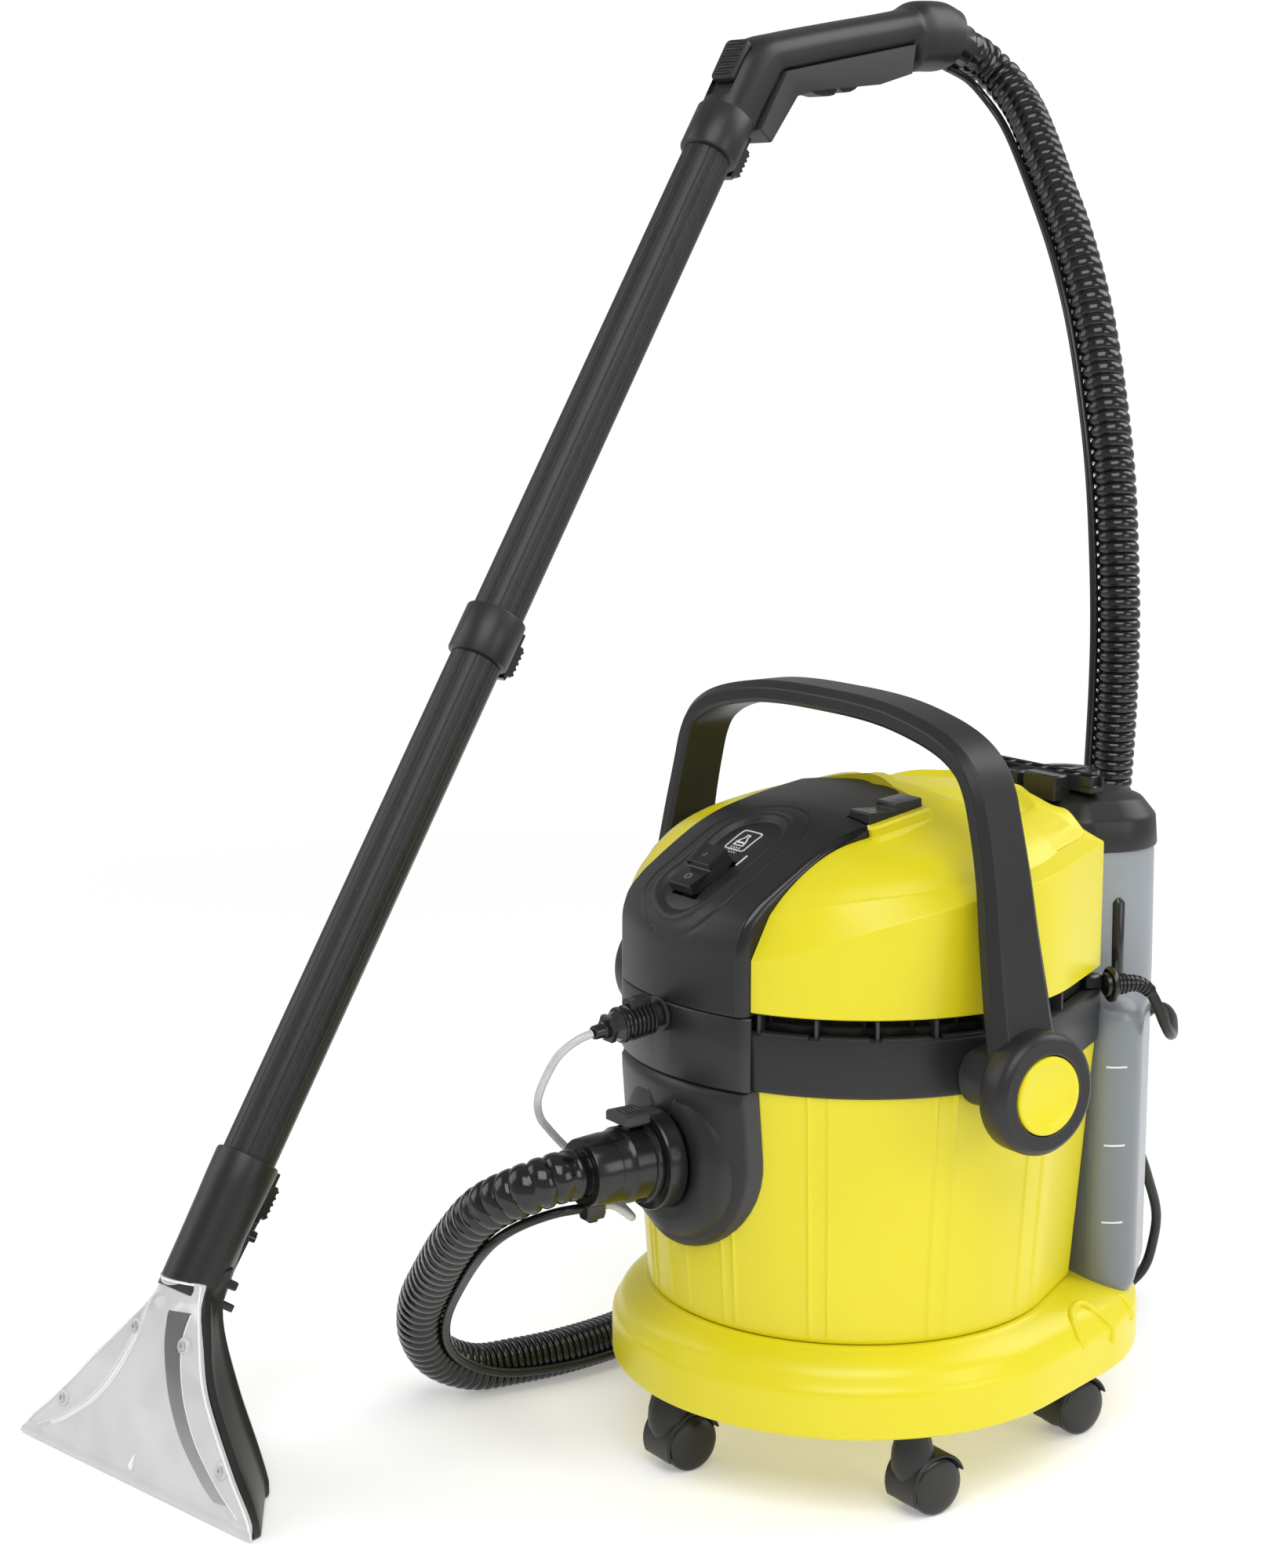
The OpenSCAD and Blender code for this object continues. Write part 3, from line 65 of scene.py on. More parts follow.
# The water line is pressed a little way into the hose's ribs
LINE_GAP = -0.7
WHEEL_R, CASTER_TRAIL, CASTER_CIRCLE = 18, 10, 134
TUBE_R, SOCKET_R, TUBE_L = 17.5, 20.9, 388
NOZZLE_W, WINDOW_SLOPE, WINDOW_T = 234, 14, 2.5
# Radius of the studio floor, in metres
FLOOR_R = 2.4


# ---------- small sums ----------

def moved(x, y, z):
    return Matrix.Translation((x, y, z))


def turned(degrees, axis):
    return Matrix.Rotation(math.radians(degrees), 4, axis)


def mirrored(side):
    return Matrix.Diagonal((side, 1, 1, 1))


AT_INLET = moved(0, -BOSS_FACE, INLET_Z) @ turned(90, "X")
AT_QUICK = moved(0, -146.05, 295) @ turned(96, "X")
AT_SPRAY = moved(0, -117, 376) @ turned(38, "X")
AT_POWER = moved(50, -17, 408.5) @ turned(10, "X")
WAND = moved(-173.6, -419.8, 0) @ turned(12, "Z")
TUBE_LINE = WAND @ moved(0, 97.3, 186.4) @ turned(-34.1, "X")
AT_TRIGGER = WAND @ moved(0, 604, 864) @ turned(8, "X")
ROCKER_TILT = turned(-7, "X")
AT_SLIDER = WAND @ moved(0, 527.5, 853) @ turned(56.5, "X")
AT_CUFF = WAND @ moved(0, 785, 906.7) @ turned(-103.7, "X")
AT_WINDOW = WAND @ moved(0, WINDOW_T + 0.5, 0) @ turned(-WINDOW_SLOPE, "X")
AT_GLAND = moved(104, 116.5, 296) @ turned(70, "Z") @ turned(90, "Y")


def smooth(table, q):
    """Value of a table at q on a smooth curve that doesn't overshoot its rows."""
    if q <= table[0][0]:
        return table[0][1]
    if q >= table[-1][0]:
        return table[-1][1]
    k = max(i for i in range(len(table)) if table[i][0] <= q)
    rise = [(table[i + 1][1] - table[i][1]) / (table[i + 1][0] - table[i][0])
            for i in range(len(table) - 1)]

    def slope(i):
        if i == 0 or i == len(table) - 1:
            return rise[min(i, len(rise) - 1)]
        a, b = rise[i - 1], rise[i]
        return 0 if a * b <= 0 else 2 * a * b / (a + b)

    span = table[k + 1][0] - table[k][0]
    t = (q - table[k][0]) / span
    return (table[k][1] * (1 + 2 * t) * (1 - t) ** 2 + slope(k) * span * t * (1 - t) ** 2
            + table[k + 1][1] * t * t * (3 - 2 * t) + slope(k + 1) * span * t * t * (t - 1))


def column(rows, key, q):
    return smooth([(row[0], row[key]) for row in rows], q)


def step(q, start, end):
    """0 before start and 1 after end, with a soft turn between."""
    t = min(max((q - start) / (end - start), 0), 1)
    return t * t * (3 - 2 * t)


def shared(a, b, w):
    return [p * (1 - w) + q * w for p, q in zip(a, b)]


def counted(start, end, n):
    return [start + (end - start) * i / n for i in range(n + 1)]


def spline(points, per_span):
    """The part's own route curve, several points to a span."""
    p = [Vector(q) for q in points]
    found = []
    for k in range(len(p) - 1):
        a, b, c, d = p[max(k - 1, 0)], p[k], p[k + 1], p[min(k + 2, len(p) - 1)]
        for i in range(per_span):
            t = i / per_span
            found.append(0.5 * (2 * b + (c - a) * t + (2 * a - 5 * b + 4 * c - d) * t * t
                                + (3 * b - a - 3 * c + d) * t ** 3))
    return found + [p[-1]]


def eased(points, times):
    """Points drawn towards their neighbours, with both ends kept as they are."""
    for _ in range(times):
        points = points[:2] + [(a + b * 2 + c) / 4 for a, b, c in zip(points[1:], points[2:],
                                                                      points[3:])] + points[-2:]
    return points


def run_lengths(points):
    total = [0.0]
    for a, b in zip(points, points[1:]):
        total.append(total[-1] + (b - a).length)
    return total


class Run:
    """A smooth run of points, read by distance along it."""

    def __init__(self, route, per_span=12):
        self.points = spline(route, per_span)
        self.marks = run_lengths(self.points)
        self.length = self.marks[-1]
        self.last = 0

    def at(self, q):
        q = min(max(q, 0), self.length)
        if q < self.marks[self.last]:
            self.last = 0
        while self.last < len(self.marks) - 2 and self.marks[self.last + 1] < q:
            self.last += 1
        a, b = self.marks[self.last], self.marks[self.last + 1]
        return self.points[self.last].lerp(self.points[self.last + 1], (q - a) / (b - a))

    def heading(self, q):
        return (self.at(q + 0.5) - self.at(q - 0.5)).normalized()


# ---------- outlines ----------

def hull_ring(circles, inset, z, flat=1000, n=144):
    ring = []
    for i in range(n):
        a = 2 * math.pi * i / n
        c = max(circles, key=lambda c: c[0] * math.cos(a) + c[1] * math.sin(a) + c[2])
        ring.append(Vector((c[0] + (c[2] - inset) * math.cos(a),
                            min(c[1] + (c[2] - inset) * math.sin(a), flat - max(inset, 0)), z)))
    return ring


def body_ring(inset, z, n=144):
    return hull_ring(((0, 0, COVER_R), (0, BACK_SHIFT, COVER_BACK_R)), inset, z, FLAT_BACK, n)


def base_ring_line(inset, z, w=0.0, n=144):
    wide = hull_ring(((0, 0, 151), (0, 68, 133)), inset, z, 1000, n)
    return shared(wide, body_ring(DRUM_TAPER + 2, z, n), w)


def tank_ring(share, inset, z, n=120):
    x, y = TANK_W / 2 - 20 - 27 * (1 - share), TANK_FRONT + 20 - 2 * (1 - share)
    r, back_r = 20 - 2 * (1 - share), TANK_D / 2 - 1
    back_x, back_y = TANK_W / 2 - 60, TANK_FRONT + TANK_D - back_r
    return hull_ring(((-x, y, r), (x, y, r), (-back_x, back_y, back_r), (back_x, back_y, back_r)), inset,
                     z, 1000, n)


def rounded(x0, y0, x1, y1, r, n=6):
    found = []
    for cx, cy, start in ((x1 - r, y0 + r, -90), (x1 - r, y1 - r, 0), (x0 + r, y1 - r, 90),
                          (x0 + r, y0 + r, 180)):
        found += [(cx + r * math.cos(math.radians(start + 90 * i / n)),
                   cy + r * math.sin(math.radians(start + 90 * i / n)))
                  for i in range(n + 1)]
    return found


# ---------- shapes ----------

class Shape:
    """Points and faces in millimetres of the machine, gathered until they become one piece."""

    def __init__(self):
        self.points, self.faces, self.tones = [], [], []
        self.tone = 0

    def add(self, points, faces, place=None):
        start = len(self.points)
        flip = place is not None and place.determinant() < 0
        self.points += [place @ Vector(p) if place else Vector(p) for p in points]
        for f in faces:
            f = [start + i for i in f]
            self.faces.append(f[::-1] if flip else f)
            self.tones.append(self.tone)

    def loft(self, rings, place=None, lids=(True, True), loop=False):
        """Closed rings, anticlockwise as seen from the far end, joined in order."""
        n, count = len(rings[0]), len(rings)
        faces = []
        for k in range(count if loop else count - 1):
            a, b = k * n, ((k + 1) % count) * n
            for i in range(n):
                j = (i + 1) % n
                faces.append((a + i, a + j, b + j, b + i))
        points = [p for ring in rings for p in ring]
        for wanted, base, turn in ((lids[0], 0, -1), (lids[1], (count - 1) * n, 1)):
            if wanted and not loop:
                faces.append([base + i for i in range(n)][::turn])
        self.add(points, faces, place)

    def spun(self, profile, place=None, n=64, loop=False):
        """Solid turned round its own Z axis: (radius, height) rows, the lowest first, or a loop."""
        rings = [[(r * math.cos(2 * math.pi * i / n), r * math.sin(2 * math.pi * i / n), z)
                  for i in range(n)]
                 for r, z in profile]
        self.loft(rings, place, loop=loop)

    def slab(self, outline, low, high, place=None, edge=0.6):
        """Flat outline in x and y, raised from low to high, with chamfered edges."""
        centre = Vector((sum(p[0] for p in outline) / len(outline),
                         sum(p[1] for p in outline) / len(outline)))
        reach = max((Vector(p) - centre).length for p in outline)
        small = [centre + (Vector(p) - centre) * (1 - edge / reach) for p in outline]
        self.loft([[(p[0], p[1], low) for p in small], [(p[0], p[1], low + edge) for p in outline],
                   [(p[0], p[1], high - edge) for p in outline], [(p[0], p[1], high) for p in small]],
                  place)

    def block(self, low, high, place=None, edge=0.6):
        """Box between two corners with every edge chamfered."""
        (x0, y0, z0), (x1, y1, z1) = low, high
        e = min(edge, (x1 - x0) / 3, (y1 - y0) / 3, (z1 - z0) / 3)

        def ring(d, z):
            return [(x0 + d + e, y0 + d, z), (x1 - d - e, y0 + d, z), (x1 - d, y0 + d + e, z),
                    (x1 - d, y1 - d - e, z),
                    (x1 - d - e, y1 - d, z), (x0 + d + e, y1 - d, z), (x0 + d, y1 - d - e, z),
                    (x0 + d, y0 + d + e, z)]

        self.loft([ring(e, z0), ring(0, z0 + e), ring(0, z1 - e), ring(e, z1)], place)

    def rope(self, points, radii, n=12, place=None, first=(1, 0, 0)):
        """Round tube along a run of points."""
        p = [Vector(q) for q in points]
        side = Vector(first)
        rings = []
        for i, q in enumerate(p):
            along = (p[min(i + 1, len(p) - 1)] - p[max(i - 1, 0)]).normalized()
            side = (side - along * side.dot(along)).normalized()
            up = along.cross(side)
            r = radii[i] if isinstance(radii, (list, tuple)) else radii
            turns = [2 * math.pi * j / n for j in range(n)]
            rings.append([q + r * (math.cos(a) * side + math.sin(a) * up) for a in turns])
        self.loft(rings, place)


def mesh_of(shape, name, sharp=32):
    mesh = bpy.data.meshes.new(name)
    mesh.from_pydata([(p + AXIS) * MM for p in shape.points], [], shape.faces)
    for polygon, tone in zip(mesh.polygons, shape.tones):
        polygon.material_index = tone
    finish_mesh(mesh, sharp)
    return mesh


def finish_mesh(mesh, sharp):
    mesh.update()
    mesh.shade_smooth()
    mesh.set_sharp_from_angle(angle=math.radians(sharp))


def cut_away(obj, cutter):
    """Cuts a shape out of a piece's mesh."""
    tool = bpy.data.objects.new("cutter", mesh_of(cutter, "cutter"))
    bpy.context.collection.objects.link(tool)
    change = obj.modifiers.new("cut", "BOOLEAN")
    change.operation, change.object, change.solver = "DIFFERENCE", tool, "MANIFOLD"
    bpy.context.view_layer.update()
    cut = obj.evaluated_get(bpy.context.evaluated_depsgraph_get())
    result = bpy.data.meshes.new_from_object(cut)
    obj.modifiers.clear()
    old, obj.data = obj.data, result
    bpy.data.meshes.remove(old)
    bpy.data.objects.remove(tool)


def add_to(obj, shape):
    """Joins a further shape to a piece's mesh."""
    more = mesh_of(shape, "more")
    both = bmesh.new()
    both.from_mesh(obj.data)
    both.from_mesh(more)
    both.to_mesh(obj.data)
    both.free()
    bpy.data.meshes.remove(more)


def make(name, shape, finishes, body, slot, nodes=(), cut=(), more=(), sharp=32, soften=0.0):
    """Turns a shape into a named piece that rides on a body: cutters first, then further shapes."""
    obj = bpy.data.objects.new(name, mesh_of(shape, name, sharp))
    bpy.context.collection.objects.link(obj)
    for finish in finishes:
        obj.data.materials.append(FINISHES[finish])
    for cutter in cut:
        cut_away(obj, cutter)
    for further in more:
        add_to(obj, further)
    if cut or more:
        finish_mesh(obj.data, sharp)
    if soften:
        bevel = obj.modifiers.new("edges", "BEVEL")
        bevel.width, bevel.segments, bevel.limit_method = soften * MM, 2, "ANGLE"
        bevel.angle_limit, bevel.harden_normals = math.radians(28), False
    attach(obj, body)
    if nodes:
        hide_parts(*nodes)
    return obj


def piece(node, shape, finishes, body, slot, **more):
    """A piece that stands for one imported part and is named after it."""
    return make(node + "_piece", shape, finishes, body, slot, [node], **more)


# ---------- finishes ----------

class Value:
    """A node socket that takes part in sums."""

    def __init__(self, finish, socket):
        self.finish, self.socket = finish, socket

    def _sum(self, kind, *terms):
        node = self.finish.node("ShaderNodeMath", {"operation": kind}, dict(enumerate(terms)))
        return Value(self.finish, node.outputs[0])

    def __add__(self, other):
        return self._sum("ADD", self, other)

    def __sub__(self, other):
        return self._sum("SUBTRACT", self, other)

    def __mul__(self, other):
        return self._sum("MULTIPLY", self, other)

    def __rsub__(self, other):
        return self._sum("SUBTRACT", other, self)

    __radd__, __rmul__ = __add__, __mul__


class Finish:
    """One material while it is being made."""

    def __init__(self, name, **sockets):
        self.material = bpy.data.materials.new(name)
        self.material.use_nodes = True
        self.tree = self.material.node_tree
        self.shader = self.tree.nodes["Principled BSDF"]
        self.material.diffuse_color = (*sockets.get("Base_Color", (0.5, 0.5, 0.5)), 1)
        for key, value in sockets.items():
            self.put(self.shader.inputs[key.replace("_", " ")], value)
        FINISHES[name] = self.material

    def put(self, socket, value):
        if isinstance(value, Value):
            value = value.socket
        if isinstance(value, bpy.types.NodeSocket):
            self.tree.links.new(value, socket)
        elif socket.type == "RGBA":
            socket.default_value = (*value, 1)
        else:
            socket.default_value = value

    def node(self, kind, settings=None, values=None):
        """Any node: its settings first, then the values or links of its sockets."""
        node = self.tree.nodes.new(kind)
        for key, value in (settings or {}).items():
            if key == "stops":
                while len(node.color_ramp.elements) < len(value):
                    node.color_ramp.elements.new(1)
                for element, (place, tone) in zip(node.color_ramp.elements, value):
                    element.position, element.color = place, (tone, tone, tone, 1)
            else:
                setattr(node, key, value)
        for key, value in (values or {}).items():
            self.put(node.inputs[key], value)
        return node

    def value(self, socket):
        return Value(self, socket)

    def place(self):
        return self.node("ShaderNodeTexCoord").outputs["Object"]

    def axis(self, letter):
        parts = self.node("ShaderNodeSeparateXYZ", None, {0: self.place()})
        return self.value(parts.outputs[letter])

    def stretched(self, scale):
        return self.node("ShaderNodeMapping", None, {"Vector": self.place(), "Scale": scale}).outputs[0]

    def noise(self, scale, detail=3.0, vector=None):
        node = self.node("ShaderNodeTexNoise", None, {"Vector": vector or self.place(), "Scale": scale,
                                                      "Detail": detail})
        return self.value(node.outputs[0])

    def ramp(self, value, stops):
        return self.value(self.node("ShaderNodeValToRGB", {"stops": stops}, {0: value}).outputs[0])

    def tinted(self, share, first, second):
        mix = self.node("ShaderNodeMix", {"data_type": "RGBA"}, {0: share, 6: first, 7: second})
        return mix.outputs[2]

    def colour(self, socket):
        self.put(self.shader.inputs["Base Color"], socket)

    def rough(self, value):
        self.put(self.shader.inputs["Roughness"], value)

    def bumped(self, height, depth_mm, strength=1.0):
        bump = self.node("ShaderNodeBump", None, {"Height": height, "Distance": depth_mm * MM,
                                                  "Strength": strength})
        self.put(self.shader.inputs["Normal"], bump.outputs[0])


FINISHES = {}


def moulded(name, colour, second, roughness, grain_scale, grain_mm, wear=0.0, coat=0.0, specular=0.5):
    """Moulded plastic: a slow change of tone, a fine grain and lightly rubbed edges."""
    f = Finish(name, Base_Color=colour, Roughness=roughness, Coat_Weight=coat, Coat_Roughness=0.12,
               Specular_IOR_Level=specular)
    slow = f.noise(9.0, 2.0)
    tone = f.tinted(slow, colour, second)
    if wear:
        edge = f.value(f.node("ShaderNodeNewGeometry").outputs["Pointiness"])
        rubbed = f.ramp(edge, [(0.0, 0.0), (0.53, 0.0), (0.62, wear)])
        tone = f.tinted(rubbed, tone, tuple(min(1, c * 2.2 + 0.03) for c in second))
    f.colour(tone)
    fine = f.noise(grain_scale, 2.0)
    f.rough(roughness + (fine - 0.5) * 0.10)
    f.bumped(fine, grain_mm)


def make_finishes():
    chosen = bpy.context.scene.extractor_sizes
    yellow, yellow_deep = tuple(chosen.yellow), tuple(chosen.yellow_deep)
    black, black_soft = tuple(chosen.black), tuple(chosen.black_soft)
    moulded("yellow_moulding", yellow, yellow_deep, 0.34, 900, 0.035)
    moulded("yellow_cap", yellow, yellow_deep, 0.30, 700, 0.02)
    moulded("black_grain", black, black_soft, 0.42, 1300, 0.14, wear=0.4, specular=0.38)
    moulded("black_satin", black, black_soft, 0.38, 800, 0.03, wear=0.5, specular=0.38)
    moulded("black_gloss", (0.006, 0.006, 0.0065), (0.011, 0.011, 0.0115), 0.22, 300, 0.01, wear=0.3,
            coat=0.15,
            specular=0.4)
    moulded("console_edge", (0.006, 0.006, 0.0065), (0.010, 0.010, 0.0105), 0.24, 300, 0.01, coat=0.15,
            specular=0.4)
    moulded("hose_black", (0.005, 0.005, 0.0055), (0.009, 0.009, 0.0095), 0.16, 260, 0.02, coat=0.25,
            specular=0.4)
    moulded("line_black", (0.008, 0.008, 0.0085), (0.014, 0.014, 0.0145), 0.26, 400, 0.02, specular=0.4)
    moulded("lead_black", (0.009, 0.009, 0.0095), (0.015, 0.015, 0.015), 0.34, 500, 0.03, specular=0.4)
    moulded("seal_black", (0.015, 0.015, 0.015), (0.02, 0.02, 0.02), 0.7, 500, 0.03)
    # Painted shade: near-black colour for the inside of the coupling's slot and for the motor plate
    moulded("gap_painted_shade", (0.004, 0.004, 0.004), (0.006, 0.006, 0.006), 0.8, 300, 0.01)
    moulded("mark_white", (0.80, 0.80, 0.79), (0.72, 0.72, 0.71), 0.45, 500, 0.01)
    moulded("mark_grey", (0.28, 0.28, 0.28), (0.22, 0.22, 0.22), 0.45, 500, 0.01)
    moulded("float_white", (0.78, 0.78, 0.75), (0.7, 0.7, 0.68), 0.4, 400, 0.02)

    # Drawn tube: fine streaks along the tube
    f = Finish("tube_satin", Base_Color=black, Roughness=0.42, Specular_IOR_Level=0.38)
    streak = f.noise(1.0, 4.0, f.stretched((420, 420, 14)))
    f.colour(f.tinted(streak, (0.009, 0.009, 0.0095), (0.026, 0.026, 0.0265)))
    f.rough(0.30 + streak * 0.22)
    f.bumped(streak, 0.05)

    # Blow-moulded tank: paler towards its rims, with a cloudy wall
    f = Finish("tank_smoke", Base_Color=(0.20, 0.225, 0.245), Roughness=0.33, Subsurface_Weight=0.12,
               Subsurface_Radius=(0.02, 0.02, 0.02), Coat_Weight=0.25, Coat_Roughness=0.2)
    cloud = f.noise(14, 3.0)
    high = f.ramp(f.axis("Z") * 2.2 - 0.12, [(0.0, 0.15), (0.45, 0.35), (0.62, 0.9), (1.0, 0.75)])
    tone = f.tinted(high * 0.8 + cloud * 0.2, (0.135, 0.152, 0.165), (0.30, 0.325, 0.35))
    f.colour(tone)
    f.rough(0.28 + cloud * 0.12)
    f.bumped(f.noise(160, 3.0), 0.08)

    # Clear nozzle window with a slight frosting
    f = Finish("window_clear", Base_Color=(0.45, 0.46, 0.47), Roughness=0.22, IOR=1.49, Coat_Weight=0.5,
               Coat_Roughness=0.1)
    cloud = f.noise(26, 2.0)
    f.colour(f.tinted(cloud, (0.60, 0.605, 0.61), (0.76, 0.765, 0.77)))
    f.put(f.shader.inputs["Alpha"], 0.80 + cloud * 0.12)
    f.bumped(f.noise(420, 2.0), 0.02)

    # Painted shade: smoky dark colour for the channel's right wall under the window, darker towards its
    # top
    f = Finish("window_painted_shade", Base_Color=(0.13, 0.13, 0.135), Roughness=0.2, IOR=1.49, Coat_Weight=0.5,
               Coat_Roughness=0.1)
    low = f.ramp(f.axis("Z") * 9 + f.noise(26, 2.0) * 0.15, [(0.0, 1.0), (0.22, 0.9), (0.75, 0.12),
                                                             (1.0, 0.0)])
    f.colour(f.tinted(low, (0.12, 0.12, 0.125), (0.42, 0.425, 0.43)))
    f.bumped(f.noise(420, 2.0), 0.02)

    # Painted highlight: near-white colour for the window's edge beads and the pale band on its channel's
    # left wall
    f = Finish("window_painted_highlight", Base_Color=(0.62, 0.63, 0.64), Roughness=0.12, Coat_Weight=0.6,
               Coat_Roughness=0.05)
    cloud = f.noise(60, 2.0)
    f.colour(f.tinted(cloud, (0.84, 0.845, 0.85), (0.95, 0.95, 0.955)))
    f.bumped(f.noise(300, 2.0), 0.02)

    # Clear water tube: milky wall
    f = Finish("tube_clear", Base_Color=(0.80, 0.82, 0.80), Roughness=0.18, Coat_Weight=0.6,
               Coat_Roughness=0.05)
    cloud = f.noise(90, 2.0)
    f.colour(f.tinted(cloud, (0.46, 0.48, 0.47), (0.66, 0.68, 0.67)))
    f.put(f.shader.inputs["Alpha"], 0.78 + cloud * 0.15)
    f.bumped(f.noise(200, 2.0), 0.02)

    # Plain metal of the motor and the screws
    f = Finish("plain_steel", Base_Color=(0.55, 0.55, 0.56), Metallic=1.0, Roughness=0.35)
    brushed = f.noise(1.0, 3.0, f.stretched((900, 900, 60)))
    f.colour(f.tinted(brushed, (0.48, 0.48, 0.49), (0.62, 0.62, 0.63)))
    f.rough(0.25 + brushed * 0.25)
    f.bumped(brushed, 0.02)

    # Pale floor that fades out towards its rim
    f = Finish("studio_floor", Base_Color=(0.93, 0.93, 0.93), Roughness=0.6, Emission_Color=(1, 1, 1),
               Emission_Strength=0.27, Specular_IOR_Level=0.2)
    grain = f.noise(3.0, 2.0)
    f.colour(f.tinted(grain, (0.92, 0.92, 0.925), (0.94, 0.94, 0.945)))
    out = f.value(f.node("ShaderNodeVectorMath", {"operation": "LENGTH"},
                         {0: f.place()}).outputs["Value"])
    f.put(f.shader.inputs["Alpha"], f.ramp(out * (1 / FLOOR_R), [(0.0, 1.0), (0.6, 1.0), (0.98, 0.0)]))


def repaint(node, finish, sharp=30):
    """A carried-over part gets its finish and smooth shading with crisp edges."""
    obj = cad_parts[node]
    obj.data.materials.clear()
    obj.data.materials.append(FINISHES[finish])
    obj.data.shade_smooth()
    weld = obj.modifiers.new("weld", "WELD")
    weld.merge_threshold = 0.00001
    obj.data.set_sharp_from_angle(angle=math.radians(sharp))


# ---------- hose, lines and lead ----------

HOSE_ROUTE = [
    (0, -204, 206), (0, -212, 206), (0, -220, 206), (-8, -238, 200), (-34, -250, 183),
    (-70, -248, 153), (-108, -240, 120), (-141, -232, 88), (-163, -220, 58), (-177, -200, 33),
    (-180, -172, 18), (-177, -142, 16), (-174, -108, 16), (-177, -68, 16), (-184, -36, 16),
    (-190, 10, 16), (-193, 80, 16), (-195, 150, 16), (-196, 215, 17), (-194, 262, 24),
    (-189, 300, 42), (-182, 328, 76), (-173, 344, 118), (-163, 352, 170), (-153, 354, 235),
    (-144, 352, 300), (-136, 350, 370), (-131, 348, 430), (-131, 348, 485), (-137, 350, 540),
    (-147, 354, 592), (-164, 360, 645), (-189, 369, 702), (-224, 380, 758), (-254, 389, 795),
    (-285, 399, 831), (-312, 408, 857), (-333, 409, 876), (-344, 402, 888), (-345.5, 392, 895),
    (-344.4, 383.8, 897.8), (-342.8, 376.2, 899.7), (-341.2, 368.6, 901.6),
]
LINE_SIDE = [
    (0, 0, 0, -1), (0.05, 0.3, 0.3, -1), (0.11, 0.7, 0.6, -0.5), (0.17, 1, 0.3, 0.1),
    (0.22, 1, 0, -0.25), (0.4, 1, 0, 0), (0.55, 0.6, -0.8, 0.2), (0.65, -0.5, -0.85, 0),
    (0.85, -0.55, -0.8, 0), (0.93, -0.3, -0.8, -0.6), (0.985, 0.05, -0.24, -1),
    (1, 0.05, -0.24, -1),
]
CLEAR_ROUTE = [
    (0, -196, 289.6), (-1, -205, 287), (-5, -215, 279), (-10, -221, 266), (-15, -224, 251),
    (-21, -219, 238), (-27, -209, 227), (-32, -196, 214), (-33, -184, 202), (-30, -173, 188),
    (-20, -166, 177), (-8, -164, 171), (0, -168, 172), (0, -176, 178.5), (0, -183, 182.4),
    (0, -189.5, 183),
]
LEAD_ROUTE = [
    (106.1, 122.2, 296), (108.8, 129.7, 296), (111.5, 137.2, 295), (114, 144, 290),
    (116, 149, 281), (117, 154, 270), (114, 162, 261), (106, 173, 256), (93, 187, 256),
    (76, 202, 258), (57, 213, 257), (38, 219, 248), (22, 224, 228), (12, 229, 195), (5, 243, 155),
    (1, 262, 118), (-6, 279, 86), (-15, 285, 58), (-21, 284, 40), (-25.2, 275, 29.6),
    (-26.2, 265, 26.5), (-26.2, 252, 26.5),
]
COIL_TURNS, COIL_LAYERS, COIL_R, COIL_X, COIL_Y = 3.375, 4, 49, -88, 245
COIL_PITCH = 2 * LEAD_R + 0.6
COIL_OUT = COIL_R + COIL_TURNS / 2 * COIL_PITCH
FLOOR_GAP = 0.2
PLUG = (-151.5, 287, 15)
COIL_TAIL = [
    PLUG, (PLUG[0], PLUG[1] - 8, PLUG[2]), (PLUG[0] + 0.4, PLUG[1] - 16, PLUG[2] - 1.4),
    (PLUG[0] + 1, PLUG[1] - 23, PLUG[2] - 4.2), (COIL_X - COIL_OUT, PLUG[1] - 30, LEAD_R + 3.4),
    (COIL_X - COIL_OUT, PLUG[1] - 36, LEAD_R + 0.9),
]


def coil_spot(q):
    """A point of the stowed lead, which winds in and out in flat layers and climbs between them."""
    layer = min(math.floor(q / COIL_TURNS + 1e-9), COIL_LAYERS - 1)
    f = q - layer * COIL_TURNS
    out = COIL_TURNS - f if layer % 2 == 0 else f
    climb = 0
    if f > COIL_TURNS - 0.25 and layer < COIL_LAYERS - 1:
        climb = (f - COIL_TURNS + 0.25) * 2
    elif f < 0.25 and layer > 0:
        climb = f * 2 - 0.5
    r = COIL_R + (out - COIL_TURNS / 2) * COIL_PITCH
    z = LEAD_R + (layer + climb) * COIL_PITCH + FLOOR_GAP
    return COIL_X - r * math.cos(2 * math.pi * q), COIL_Y - r * math.sin(2 * math.pi * q), z


def in_metres(points):
    return [tuple((Vector(p) + AXIS) * MM) for p in points]


def make_cord(name, shape, finish, slot, nodes, path):
    cord = make(name, shape, [finish], "machine", slot, nodes, sharp=60)
    line = in_metres(path)
    run_lengths([Vector(p) for p in line])[-1]


def line_side(q):
    return Vector([sum_at([(row[0], row[k]) for row in LINE_SIDE], q) for k in (1, 2, 3)])


def sum_at(table, q):
    """Value of a table at q on straight lines between its rows."""
    for (a, va), (b, vb) in zip(table, table[1:]):
        if q <= b:
            return va + (vb - va) * max(q - a, 0) / (b - a)
    return table[-1][1]


